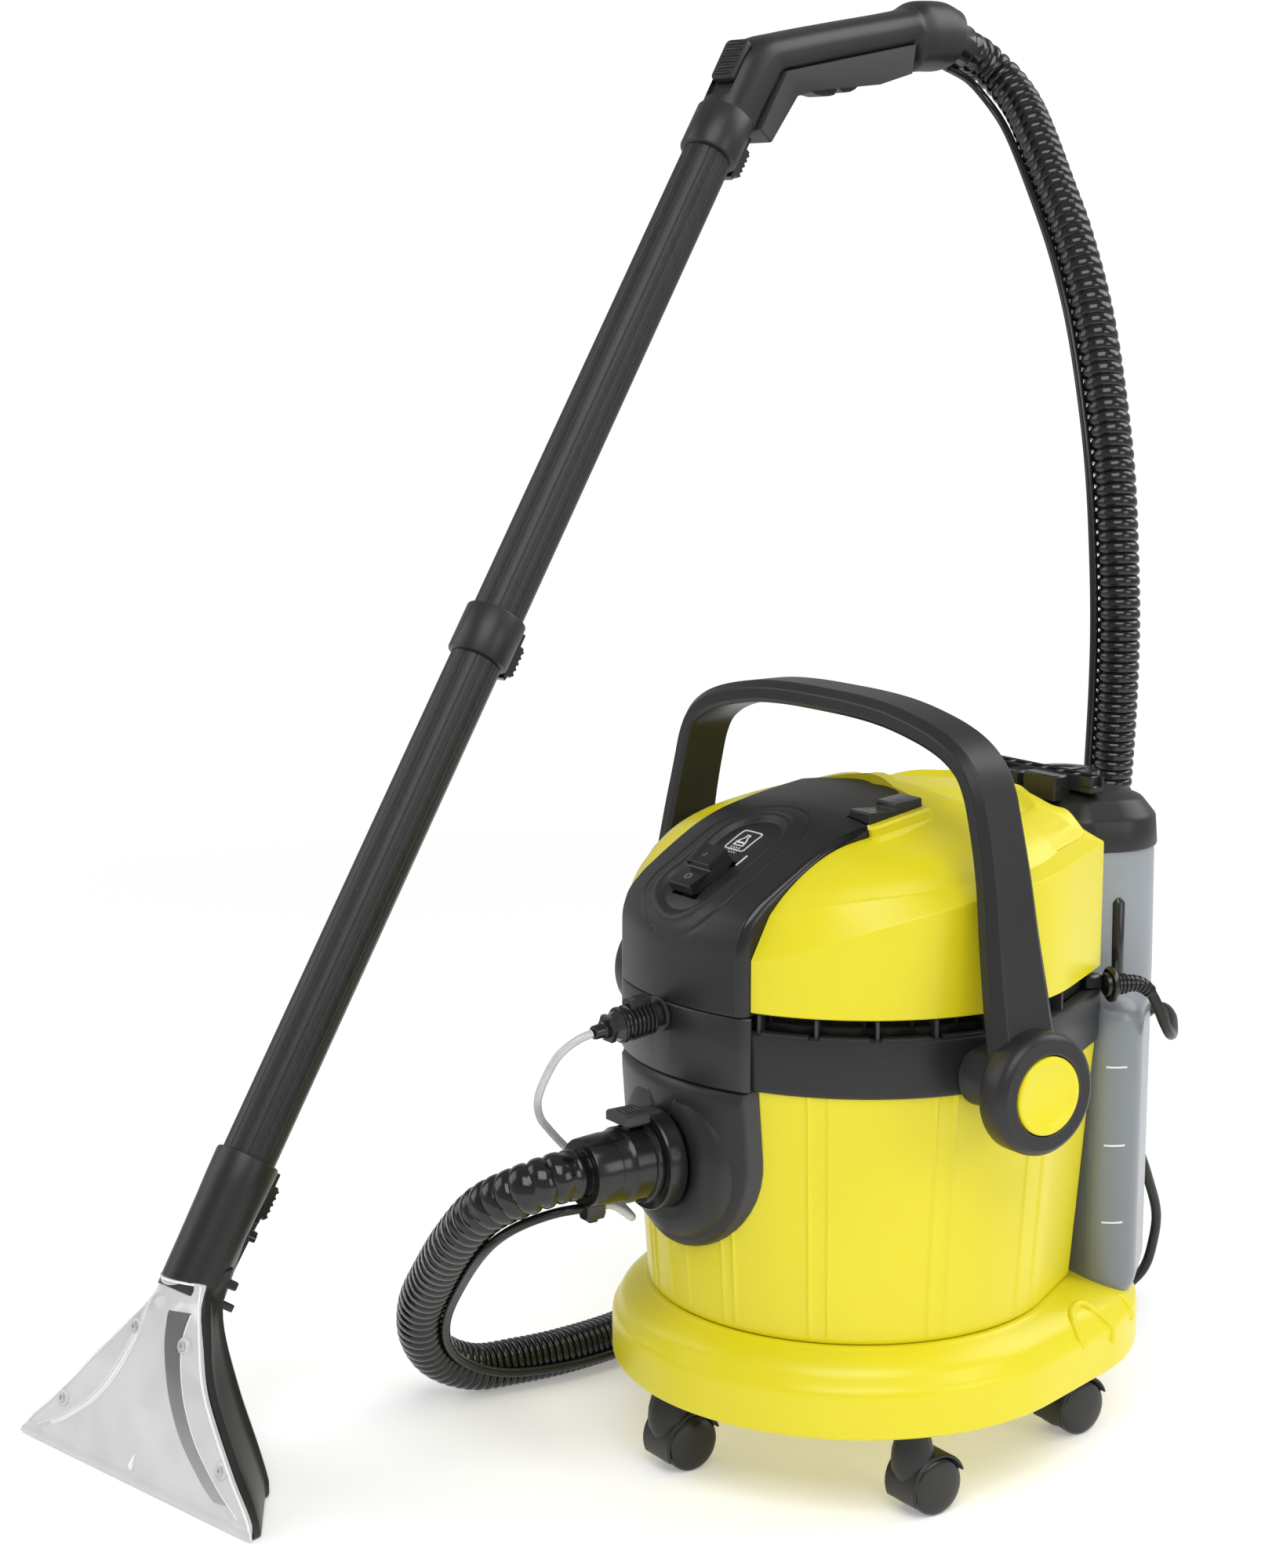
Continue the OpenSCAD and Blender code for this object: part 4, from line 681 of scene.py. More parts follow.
def make_cords():
    size = bpy.context.scene.extractor_sizes
    hose = Run(HOSE_ROUTE)
    ribs = (0.0, 0.08, 0.20, 0.34, 0.50, 0.66, 0.80, 0.92)
    rib_rise = (0.0, 0.36, 0.76, 0.95, 1.0, 0.95, 0.76, 0.36)
    # The hose is drawn out by the coupling, bunched where it lies and even where it hangs
    stretch = [(0, 1.5), (200, 1.42), (290, 1.15), (350, 0.74), (700, 0.74), (820, 1.1), (1200, 1.15),
               (1450, 1.5),
               (hose.length, 1.55)]
    path, radii = [hose.at(0)], [HOSE_R - 1.0]
    q = 3.0
    while q < hose.length - 12:
        drawn = sum_at(stretch, q)
        pitch, depth = size.rib_pitch / MM * drawn, 1.7 if q < 330 else 2.1
        for f, rise in zip(ribs, rib_rise):
            path.append(hose.at(q + f * pitch))
            radii.append(HOSE_R - depth + depth * rise)
        q += pitch
    path.append(hose.at(hose.length))
    radii.append(HOSE_R - 1.5)
    shape = Shape()
    shape.rope(path, radii, 24)
    centre = [hose.at(d) for d in counted(0, hose.length, 180)]
    make_cord("suction_hose_piece", shape, "hose_black", "hose_black", ["suction_hose"], centre)

    marks = [0, 9] + [hose.length * i / 120 for i in range(1, 120)] + [hose.length - 9, hose.length]
    near = [(0, 4), (16, 2.6), (40, 0), (hose.length - 150, 0), (hose.length - 40, 1.4),
            (hose.length, 1.4)]
    line = []
    for d in marks:
        along = hose.heading(d)
        side = line_side(d / hose.length)
        side = (side - along * side.dot(along)).normalized()
        line.append(hose.at(d) + side * (HOSE_R + LINE_R + LINE_GAP + sum_at(near, d)))
    line += [line[-1] + hose.heading(hose.length) * 10, line[-1] + hose.heading(hose.length) * 20.4]
    line = spline(eased(line, 3), 2)
    shape = Shape()
    shape.rope(line, LINE_R, 14)
    make_cord("water_line_piece", shape, "line_black", "line_black", ["water_line"], line)

    clear = Run(CLEAR_ROUTE)
    centre = [clear.at(d) for d in counted(0, clear.length, 70)]
    shape = Shape()
    shape.rope(centre, CLEAR_R, 16)
    make_cord("clear_tube_piece", shape, "tube_clear", "clear_tube", ["spray_tube"], centre)

    lead = Run(LEAD_ROUTE)
    whole = [lead.at(d) for d in counted(0, lead.length, 110)]
    turns = [Vector(coil_spot(q / 40)) for q in range(int(COIL_TURNS * COIL_LAYERS * 40), -1, -1)]
    tail = Run([turns[-1]] + [Vector(p) for p in COIL_TAIL[::-1]])
    whole += turns + [tail.at(d) for d in counted(2, tail.length, 14)]
    shape = Shape()
    shape.rope(whole, LEAD_R, 12)
    plug = make_plug()
    make_cord("mains_lead_piece", shape, "lead_black", "lead_black", ["mains_lead", "mains_coil"], whole)


def make_plug():
    at = moved(*PLUG) @ turned(-90, "X")
    s = Shape()
    s.spun([(4.2, 0), (5, 0.8), (5.4, 6), (6.6, 14), (8.2, 22), (9.5, 24)], at, 40)
    s.spun([(12, 22.5), (14.2, 24), (14.8, 27), (14.8, 45), (14.2, 47.4), (13, 48)], at, 56)
    for k in range(3):
        s.spun([(5.6 + k, 7 + 4 * k), (6.2 + k, 8 + 4 * k), (6.2 + k, 9.4 + 4 * k),
                (5.6 + k, 10.4 + 4 * k)], at, 32)
    s.tone = 1
    for side in (-1, 1):
        s.spun([(2.1, 47.5), (2.4, 47.8), (2.4, 66), (1.9, 66.8), (0.8, 67)], at @ moved(side * 9.5, 0,
                                                                                         0), 28)
    return piece("mains_plug", s, ["lead_black", "plain_steel"], "machine", "lead_black")


# ---------- shells of the machine ----------

RING_LEVELS = [
    (0, 2.4, RING_LOW, 0), (1, 0.6, 54.2, 0), (2, 0, 57, 0), (3, 0, 77, 0), (4, 0.6, 81.5, 0),
    (5, 2.8, 85.4, 0.01), (6, 4.2, 90, 0.06), (7, 4.4, 93.6, 0.20), (8, 4, 96.6, 0.42),
    (9, 3, 99.4, 0.68), (10, 1.2, 101.6, 0.90), (11, 0, DRUM_LOW, 1.0),
]


# Raised loops on the ring's shoulder, on each side of the tank
RING_LOOPS = [
    [(134.7, 76.8, 78.9), (133.4, 75.0, 83.4), (132.3, 73.3, 87.4), (127.5, 74, 94.1), (122.1, 78, 97.2),
     (117, 86.5, 98.2), (116.4, 92.7, 97.4), (119.8, 96, 94.7), (122.3, 101.2, 90.8),
     (123.6, 105.7, 86.7),
     (124.7, 109.6, 81.8), (125.9, 109.5, 77.2), (126.4, 109.2, 72.4)],
    [(104.5, 132.5, 90.6), (107.8, 136.5, 87.9), (109, 139.4, 84.2), (110.6, 139.2, 80.7),
     (113, 137.2, 75.9)]]
PANEL_LINES = (
    -96, -87.5, -74.3, -70.6, -49.4, -44.5, -18, -12.7, 12, 19.7, 50, 58, 122, 130, 160.3, 168,
    192.7, 198, 224.5, 229.4, 250.6, 254.3,
)


def ring_level(q):
    return base_ring_line(column(RING_LEVELS, 1, q), column(RING_LEVELS, 2, q), column(RING_LEVELS, 3, q))


def make_base_ring():
    s = Shape()
    inside = [base_ring_line(6, 83), base_ring_line(5, 54), base_ring_line(4.4, RING_LOW)]
    s.loft(inside + [ring_level(q) for q in counted(0, 11, 33)])
    for side in (1, -1):
        for loop in RING_LOOPS:
            path = spline([(side * x, y, z) for x, y, z in loop], 5)
            s.rope(path, [0.9] + [2.6] * (len(path) - 2) + [0.9], 12)
    piece("base_ring", s, ["yellow_moulding"], "machine", "yellow_shell", sharp=40)


def make_drum():
    s = Shape()
    n = 720
    angles = [360 * i / n for i in range(n)]

    def proud(a):
        nearest = min(abs((a - line + 180) % 360 - 180) for line in PANEL_LINES)
        return 1.0 * (1 - step(nearest, 0.3, 0.55))

    def level(inset, z, w):
        ring = body_ring(inset, z, n)
        return [p + Vector((math.cos(math.radians(a)), math.sin(math.radians(a)), 0)) * proud(a) * w
                if p.y < FLAT_BACK - inset - 1 else p for p, a in zip(ring, angles)]

    rows = [(16, DRUM_LOW, 0), (13.4, 104.6, 0), (12.9, 107, 0.3), (12.6, DRUM_STEP, 1)]
    rows += [(12.6 - 10.6 * t, DRUM_STEP + (DRUM_TOP - DRUM_STEP) * t, 1) for t in counted(0.1, 1, 12)]
    inside = [body_ring(6, DRUM_TOP, n), body_ring(16, 108, n), body_ring(18, 106, n)]
    s.loft([level(*row) for row in rows] + inside)
    piece("drum", s, ["yellow_moulding"], "machine", "yellow_shell", sharp=50)


def make_rim_band():
    s = Shape()
    rings = [body_ring(7, DRUM_TOP), body_ring(1.2, DRUM_TOP), body_ring(0.2, 258.8),
             body_ring(-0.4, 262), body_ring(-0.8, 276),
             body_ring(-1.5, 290.6), body_ring(-1.2, 292.3), body_ring(-0.2, BAND_TOP),
             body_ring(7, BAND_TOP)]
    s.loft(rings, loop=True)
    for side in (1, -1):
        at = mirrored(side) @ moved(0, PIN_Y, PIN_Z) @ turned(90, "Y")
        s.spun([(18.6, 139), (18.6, 141), (18, 142), (18, 174.2), (17.4, 175)], at, 64)
        s.spun([(7, 174), (7, 189.6), (6.2, 190.4)], at, 40)
    # Low tabs along the band's upper edge, between the ribs of the vent gap
    for start in (-62, -47.6, -33, -18.5, -4, 196, 210.5, 225):
        arcs = []
        for a in counted(start + 1, start + 12.6, 14):
            c, d = math.cos(math.radians(a)), math.sin(math.radians(a))
            arcs.append([(136.5 * c, 136.5 * d, 292.6), (141.6 * c, 141.6 * d, 292.6),
                         (141.6 * c, 141.6 * d, 294.4),
                         (141 * c, 141 * d, 294.9), (136.5 * c, 136.5 * d, 294.9)])
        s.loft(arcs)
    for a in (-76.4, -62, -47.6, -33, -18.5, -4, 10.5, 25, 155, 169.5, 184, 198.5, 213, 227.6, 242):
        at = turned(a, "Z")
        s.block((126, -1.1, 292), (139.4, 1.1, 304.4), at, 0.4)
    piece("rim_band", s, ["black_satin"], "machine", "satin_black", sharp=40)


LOW_CREASE = [(-90, 30), (-63, 32), (-49, 42), (-28, 58), (-7, 68), (20, 75), (55, 84), (90, 88)]
REAR_SHARE = [
    (-90, 0), (-63, 0), (-43, 0.2), (-20, 0.34), (-4, 0.4), (20, 0.5), (55, 0.8), (90, 1),
]
DOME = [
    (0, 0.92, 57, 103), (1, 0.86, 67, 110), (2, 0.77, 78, 113), (3, 0.67, 87, 114),
    (4, 0.58, 93, 115), (5, 0.51, 97, 116), (6, 0.42, 103, 117), (7, 0.25, 110, 118),
    (8, 0.08, 116, 118.5),
]


def facing(i, n):
    a = 360 * i / n
    return a - 360 if a > 270 else 180 - a if a > 90 else a


def dome_detail(p):
    """Height added to the cover: its dish, its raised rear lip and the dip beside the power rocker."""
    dish = math.hypot((p.x - 2) / 86, (p.y - 62) / 40)
    rear = step(p.y, 98, 107)
    outer, inner = [high * math.exp(-((abs(p.x) - x) / 9) ** 2) for high, x in ((4.6, 76), (3.4, 33))]
    lip = rear * (outer + inner - 1.6) * step(118 - abs(p.x), 0, 16)
    beside = 7 * math.exp(-((abs(p.x) - 68) / 30) ** 2 - ((p.y + 26) / 38) ** 2)
    return lip - beside - 5.2 * (1 - step(dish, 0.86, 1.0)) * (1 - step(p.y, 96, 104))


def cover_rings(n, inset):
    def outline_at(z_of, inset_now, share=1.0):
        ring = body_ring(inset_now, 0, n)
        return [Vector((p.x * share, 10 + (p.y - 10) * share, COVER_LOW + z_of(facing(i, n)) - inset))
                for i, p in enumerate(ring)]

    def crease(extra):
        return lambda a: smooth(LOW_CREASE, a) + extra

    def dome(q):
        front, rear = column(DOME, 2, q), column(DOME, 3, q)
        return lambda a: front + (rear - front) * smooth(REAR_SHARE, a)

    rings = [outline_at(lambda a: inset, inset + 1.0), outline_at(lambda a: inset + 0.8, inset),
             outline_at(lambda a: 10.0, inset), outline_at(crease(-0.5), inset), outline_at(crease(0.5),
                                                                                            inset + 0.5)]
    edge, upper = crease(0.5), dome(0)
    for t in counted(0.14, 0.98, 6):
        share = 1 - (1 - 0.92) * t
        rings.append(outline_at(lambda a, t=t: edge(a) * (1 - t) + upper(a) * t, inset + 0.5 * (1 - t),
                                share))
    for q in counted(0.06, 8, 44):
        rings.append(outline_at(dome(q), inset, column(DOME, 1, q)))
    return rings


def make_head_cover():
    n = 288
    outer = cover_rings(n, 0)
    for ring in outer[12:]:
        for p in ring:
            p.z += dome_detail(p)
    inner = cover_rings(n, 7)[1:]
    s = Shape()
    s.loft(inner[::-1] + outer)
    channel = Shape()
    console_solid(channel, 0.35, -22, 24)
    # Stepped foot beside the power rocker
    foot = Shape()
    w, l = POWER_SIZE
    foot.block((w / 2 - 3, -l / 2 - 7, -26), (w / 2 + 12, l / 2 + 5, -4.5), AT_POWER, 3.2)
    foot.block((w / 2 - 3, -l / 2 - 3, -26), (w / 2 + 6.5, l / 2 + 2.6, 1.2), AT_POWER, 1.4)
    piece("head_cover", s, ["yellow_moulding"], "machine", "yellow_shell", sharp=11,
         cut=[channel], more=[foot])


SPRAY_SIZE, POWER_SIZE = (22.5, 34), (19, 41)
CONSOLE_HALF = 62
# Where the console's side starts to round over, as a share of its half width, and over how much
EDGE_U, EDGE_SPAN = 0.935, 0.065
CONSOLE_PATH = [
    (0, 14.6, -2, 18.6, 0), (1, 14.6, 34, 18.4, 0), (2, 16.7, 46, 17, 0), (3, 25.3, 57.5, 14, 0),
    (4, 36, 67, 10, 0), (5, 51.4, 77.7, 8, 0), (6, 69, 87.2, 8, 0), (7, 85, 93, 8, 0),
    (8, 101, 97, 8, 0), (9, 121, 101.3, 7, 2), (10, 144.4, 105.4, 5.5, 14),
]
RECESS_Y, RECESS_HALF, RECESS_WIDE = -104.0, 47.0, 25.0
HALO_HALF, HALO_WIDE = 62.0, 39.0


def console_spot(q, u, raise_by):
    """Point on the console: q runs from its foot to its rear end, u from side to side."""
    at = [column(CONSOLE_PATH, k, q) for k in (1, 2, 3, 4)]
    ahead = [column(CONSOLE_PATH, k, min(q + 0.02, 10)) for k in (1, 2)]
    behind = [column(CONSOLE_PATH, k, max(q - 0.02, 0)) for k in (1, 2)]
    d = Vector((ahead[0] - behind[0], ahead[1] - behind[1])).normalized()
    normal = Vector((-d.y, d.x))
    side = abs(u)
    if side < EDGE_U:
        crown = 0.45 + 0.55 * (1 - (side / EDGE_U) ** 2)
    else:
        crown = 0.45 * math.sqrt(max(0, 1 - ((side - EDGE_U) / EDGE_SPAN) ** 2))
    bow = at[3] * (1 - u * u)
    y = at[0] - COVER_R + normal.x * (at[2] * crown + raise_by) + d.x * bow
    z = COVER_LOW + at[1] + normal.y * (at[2] * crown + raise_by) + d.y * bow
    return Vector((u * CONSOLE_HALF, y, z)), normal


def console_solid(s, grow, low, high):
    """The console's outline as a block, from low to high off its surface."""
    wide = CONSOLE_HALF * (1 + grow / CONSOLE_HALF)
    across = counted(-1, 1, 24)
    rings = []
    for q in [0, 0.5, 1, 1.5, 2, 2.5, 3, 4, 5, 6, 7, 8, 9, 9.6, 10]:
        base, normal = console_spot(q, 1, 0)
        along = Vector((0, normal.y, -normal.x))
        push = grow if q == 10 else 0
        sides = []
        for level in (high, low):
            side = []
            for u in across:
                p = console_spot(q, u, 0)[0]
                slide = Vector((0, p.y - base.y, p.z - base.z)).dot(along) + push
                side.append(Vector((u * wide, base.y + normal.x * level + along.y * slide,
                                    base.z + normal.y * level + along.z * slide)))
            sides.append(side)
        ring = sides[0] + sides[1][::-1]
        if q == 0:
            ring = [p - Vector((0, 0, 4)) for p in ring]
        rings.append(ring)
    s.loft(rings)


def race(x, along, half, wide):
    """Distance inside the edge of a long oval."""
    over = max(abs(along) - (half - wide), 0)
    return wide - math.hypot(x, over)


def console_run():
    """Distances along the console's middle line, zero where the recess has its middle."""
    marks, total, before = [], 0.0, None
    for q in counted(0, 10, 400):
        p = console_spot(q, 0, 0)[0]
        if before is not None:
            total += (p - before).length
        marks.append((q, total, p.y))
        before = p
    middle = min(marks[120:], key=lambda m: abs(m[2] - RECESS_Y))[1]
    return [(q, along - middle) for q, along, _ in marks]


def make_console():
    run = console_run()
    wells = [(at.inverted(), w / 2 + 0.7, l / 2 + 0.9)
             for at, (w, l) in ((AT_SPRAY, SPRAY_SIZE), (AT_POWER, POWER_SIZE))]
    rounded_side = [EDGE_U + EDGE_SPAN * math.sin(math.radians(a)) for a in counted(0, 90, 12)]
    across = [-u for u in rounded_side[::-1]] + counted(-0.925, 0.925, 190) + rounded_side
    along = counted(0, 2, 20) + counted(2.03, 8.2, 230) + counted(8.24, 10, 40)
    recess_deep, groove_deep, lip_high, well_deep, panel_deep = 3.4, 0.8, 0.8, 9, 10
    rings = []
    for q in along:
        w = sum_at(run, q)
        row = []
        for u in across:
            x = u * CONSOLE_HALF
            inner = race(x, w, RECESS_HALF, RECESS_WIDE)
            halo = race(x, w, HALO_HALF, HALO_WIDE)
            rise = (-recess_deep * step(inner, -1.2, 2.6) - groove_deep * math.exp(-(halo / 0.95) ** 2)
                    + lip_high * math.exp(-((inner + 3.2) / 1.8) ** 2))
            spot = console_spot(q, u, rise)[0]
            for turn, w_half, l_half in wells:
                local = turn @ spot
                if abs(local.x) < w_half and abs(local.y) < l_half:
                    spot = console_spot(q, u, -well_deep)[0]
            row.append(spot)
        edge, down = console_spot(q, across[0], 0)[0], console_spot(q, 0, 0)[1] * -panel_deep
        low = [Vector((p.x, edge.y + down.x, edge.z + down.y)) for p in row]
        rings.append(row + low[::-1])
    s = Shape()
    s.loft(rings)
    for i, face in enumerate(s.faces):
        if len(face) == 4 and all(abs(s.points[k].x) > CONSOLE_HALF * 0.934 for k in face):
            s.tones[i] = 1
    piece("console_panel", s, ["black_grain", "console_edge"], "machine", "satin_black", sharp=62)
    make_console_marks()


def laid_on_console(x, w, lift, run):
    """Point at a distance along the console, lifted off its recess floor."""
    q = min(run, key=lambda m: abs(m[1] - w))[0]
    return console_spot(q, x / CONSOLE_HALF, lift)[0]


def make_console_marks():
    """Spray sign: a rounded square with a bottle and drops, and a short white line below, a painted
    highlight for the recess's lit edge.
    """
    run = console_run()
    s = Shape()
    lift, middle_x = -3.25, -3.5

    def stroke(points, r=0.45):
        dense = []
        points = [(x + middle_x, w) for x, w in points]
        for (x0, w0), (x1, w1) in zip(points, points[1:]):
            dense += [laid_on_console(x0 + (x1 - x0) * t, w0 + (w1 - w0) * t, lift, run)
                      for t in counted(0, 1, 6)]
        s.rope([p for i, p in enumerate(dense) if i == 0 or (p - dense[i - 1]).length > 0.05], r, 6)

    # Middle of the square along the console, and half its side
    c, h = 22.0, 9.2
    corner = [(math.cos(a), math.sin(a)) for a in counted(0, math.pi / 2, 4)]
    square = []
    for sx, sw, turn in ((1, 1, 1), (-1, 1, -1), (-1, -1, 1), (1, -1, -1)):
        arc = [(sx * (h - 2 + 2 * a), c + sw * (h - 2 + 2 * b)) for a, b in corner]
        square += arc if turn > 0 else arc[::-1]
    gap = [p for p in square if not (p[1] < c - h + 1 and abs(p[0]) < 6)]
    stroke(gap + [gap[0]])
    stroke([(-4.5, c - 5), (4.5, c - 5), (3.6, c - 1), (1.3, c + 2.6), (1.3, c + 5), (-1.3, c + 5),
            (-1.3, c + 2.6),
            (-3.6, c - 1), (-4.5, c - 5)], 0.5)
    stroke([(-4.2, c - 2.6), (4.2, c - 2.6)], 0.8)
    for i in range(4):
        for k in range(3):
            x = -3.9 + 2.6 * i
            stroke([(x, c - 6.8 - 2.1 * k), (x, c - 8.0 - 2.1 * k)], 0.38)
    # Painted highlight: a short white stroke for the lit edge of the recess
    stroke([(16.4, 1), (16.4, 11)], 0.6)
    make("spray_sign", s, ["mark_white"], "machine", "float_white")


def rocker_shape(w, l):
    """Two-step rocker: two pads that meet in a shallow valley."""
    s = Shape()
    profile = [(-l / 5, -4.5), (l / 5, -4.5), (l / 2, -1), (l / 2, 8.4), (l / 2 - 0.8, 9.2), (1.4, 8.3),
               (0.7, 7.6),
               (0.5, 4.2), (0, 3.9), (-l / 2 + 0.8, 5.8), (-l / 2, 5), (-l / 2, -1)]
    at = ROCKER_TILT @ turned(90, "Y") @ turned(90, "Z")
    s.slab([(p[0], p[1]) for p in profile], -w / 2, w / 2, at, 0.5)
    return s


def make_rockers():
    for name, at, (w, l) in (("spray", AT_SPRAY, SPRAY_SIZE), ("power", AT_POWER, POWER_SIZE)):
        s = rocker_shape(w, l)
        s.tone = 1
        ring = [(math.cos(a), math.sin(a)) for a in counted(0, 2 * math.pi, 24)]
        front = ROCKER_TILT @ moved(0, -l / 4, 4.95) @ turned(-math.degrees(math.atan2(1.9, l / 2)), "X")
        rear = ROCKER_TILT @ moved(0, l / 4, 8.8) @ turned(math.degrees(math.atan2(0.9, l / 2)), "X")
        if name == "spray":
            s.rope([(2.3 * a, 2.3 * b, 0) for a, b in ring], 0.28, 6, front)
            s.rope([(1.6 * a - 0.6, 1.6 * b, 0) for a, b in ring[15:] + ring[:4]], 0.2, 6, rear)
        else:
            s.rope([(0, -2.4, 0), (0, 2.4, 0)], 0.4, 6, front @ turned(90, "Z"))
            s.rope([(1.9 * a, 2.4 * b, 0) for a, b in ring], 0.3, 6, rear)
        s.points = [at @ p for p in s.points]
        rocker = name + "_rocker"
        piece(rocker, s, ["black_gloss", "mark_grey"], rocker, "gloss_black", soften=0.25)


def arc_plate(s, r_in, r_out, half, z0, z1, soft=2.0, steps=40):
    """Curved plate on the machine's front, with softened edges."""
    rings = []
    for z, d in ((z0, soft), (z0 + 0.4 * soft, 0.35 * soft), (z0 + soft, 0), (z1 - soft, 0),
                 (z1 - 0.4 * soft, 0.35 * soft),
                 (z1, soft)):
        out, back = [], []
        for a in counted(-half, half, steps):
            edge = max(0, abs(a) - (half - 1.6)) / 1.6
            r = r_out - d - edge * edge * 2.2
            out.append((r * math.sin(math.radians(a)), -r * math.cos(math.radians(a)), z))
            back.append((r_in * math.sin(math.radians(a)), -r_in * math.cos(math.radians(a)), z))
        rings.append(out + back[::-1])
    s.loft(rings)


def make_console_mid():
    s = Shape()
    arc_plate(s, 142.85, 146.3, 26.8, 257.6, 302.4, 1.2)
    # Pressed line down the plate, right of its middle
    hole = Shape()
    hole.spun([(7.8, -8), (7.8, 6)], AT_QUICK, 48)
    hole.block((40, -140, 250), (41.2, -134.2, 310), moved(0, 0, 0), 0.1)
    piece("console_mid", s, ["black_satin"], "machine", "satin_black", sharp=36, cut=[hole])


def drum_r_at(z):
    return COVER_R - 2 - (DRUM_TAPER + 1) * (DRUM_TOP - z) / 155


def make_inlet_housing():
    s = Shape()
    rows = []
    round_z, low = 215, 149

    def half_at(z):
        if z >= round_z:
            return 66
        return 66 * math.sqrt(max(0, 1 - ((round_z - z) / (round_z - low)) ** 2))

    # Rows run up the plate; each closes round its front and its back
    levels = [149.4, 150.2, 151.6, 153.6, 156, 159, 163, 168, 174, 181, 189, 198, 207, 215, 226, 238, 248,
              254, 256.4, 257.4]
    for z in levels:
        h = half_at(z)
        r = drum_r_at(z) + 0.55
        front, back = [], []
        for u in counted(-1, 1, 60):
            x = u * h
            gap = min(h - abs(x) if z > 190 else 99, (z - low) * 0.9 if abs(x) < 8 else 99,
                      66 - math.hypot(x, min(z - round_z, 0)), 258.2 - z)
            proud = 8 * math.sqrt(max(0.0, 1 - (1 - min(max(gap, 0) / 7, 1)) ** 2))
            front.append((x, -math.sqrt((r + proud) ** 2 - x * x), z))
            back.append((x, -math.sqrt(r * r - x * x), z))
        rows.append(front + back[::-1])
    s.loft(rows)
    boss = Shape()
    boss.spun([(54, -13), (51.6, -7.6), (48.6, -4.0), (45, -1.8), (41.4, -0.6), (38.6, 0.2), (35, 0.6),
               (31.4, 0.6),
               (30.4, 0.2), (29.6, -1.4), (29.4, -3.4), (18.9, -3.6)], AT_INLET, 120)
    # Fan-shaped pocket above the coupling
    pocket = Shape()
    pocket.slab([(-7, 26), (7, 26), (13.5, 38.5), (9, 41.6), (0, 43), (-9, 41.6), (-13.5, 38.5)], -5.4, 6,
                AT_INLET, 0.2)
    ridge = Shape()
    for side in (-1, 1):
        ridge.rope([(side * 7.4, 27, -0.6), (side * 13.8, 38.6, -0.3)], 0.7, 8, AT_INLET)
    piece("inlet_housing", s, ["black_satin"], "machine", "satin_black", sharp=36, more=[ridge])
    make("inlet_boss_piece", boss, ["black_satin"], "machine", "satin_black", sharp=30, cut=[pocket])


def make_coupling():
    s = Shape()
    length = COUPLING_END - BOSS_FACE
    s.spun([(18.9, -20), (18.9, 1), (29.2, 1.2), (30.4, 2.2), (30.4, 12.6), (29.6, 13.8), (25.4, 14.2),
            (24.4, 14.6),
            (24.4, 15.2), (25.2, 15.6), (25.2, 17.8), (24.6, 18.4), (23.2, 18.8), (23.2, 31.4),
            (22.4, 32.6), (21.9, 33.6),
            (21.6, 37),
            (20.9, 40.4), (21.6, 41.2), (21.6, 42.6), (20.6, 57.2), (20.2, 58), (17.4, 58)], AT_INLET, 88)
    body, s = s, Shape()
    # Clip under the cuff that joins the clear tube to the black line
    s.slab([(-5.2, -18), (-5.2, -26), (-3.6, -29.4), (3.6, -29.4), (5.2, -26), (5.2, -18)], 43.5,
           length - 1.6, AT_INLET, 0.7)
    s.slab([(-2.2, -29), (2.2, -29), (1.6, -31.6), (-1.6, -31.6)], 47, 53, AT_INLET, 0.4)
    # Small slot and its frame on the collar's side
    side = AT_INLET @ turned(-58, "Z")
    s.slab([(22.6, -1.4), (24.1, -1.4), (24.1, 1.4), (22.6, 1.4)], 20, 26.5, side, 0.3)
    # The slot's inside is a near-black insert, a painted shade
    s.tone = 1
    s.slab([(23.4, -0.7), (24.3, -0.7), (24.3, 0.7), (23.4, 0.7)], 21, 25.5, side, 0.1)
    pocket = Shape()
    pocket.block((-7.35, 21, 4), (7.35, 51, 30), AT_INLET, 0.1)
    piece("hose_coupling", body, ["black_gloss", "gap_painted_shade"], "machine", "gloss_black", sharp=30,
         cut=[pocket], more=[s])
    s = Shape()
    s.block((-7, 23.8, 4.4), (7, 27, 29.4), AT_INLET, 0.5)
    s.slab([(-10.4, 26.3), (10.4, 26.3), (10.4, 31.2), (9.0, 32.6), (-9.0, 32.6), (-10.4, 31.2)], 15,
           33.6, AT_INLET, 0.7)
    s.slab([(-7.4, 26.3), (7.4, 26.3), (6.6, 30.8), (-6.6, 30.8)], 4.4, 15.4, AT_INLET, 0.4)
    for k in range(4):
        s.block((-5.6, 32, 18 + 3.2 * k), (5.6, 33.4, 19.4 + 3.2 * k), AT_INLET, 0.4)
    piece("coupling_latch", s, ["black_satin"], "coupling_latch", "gloss_black")


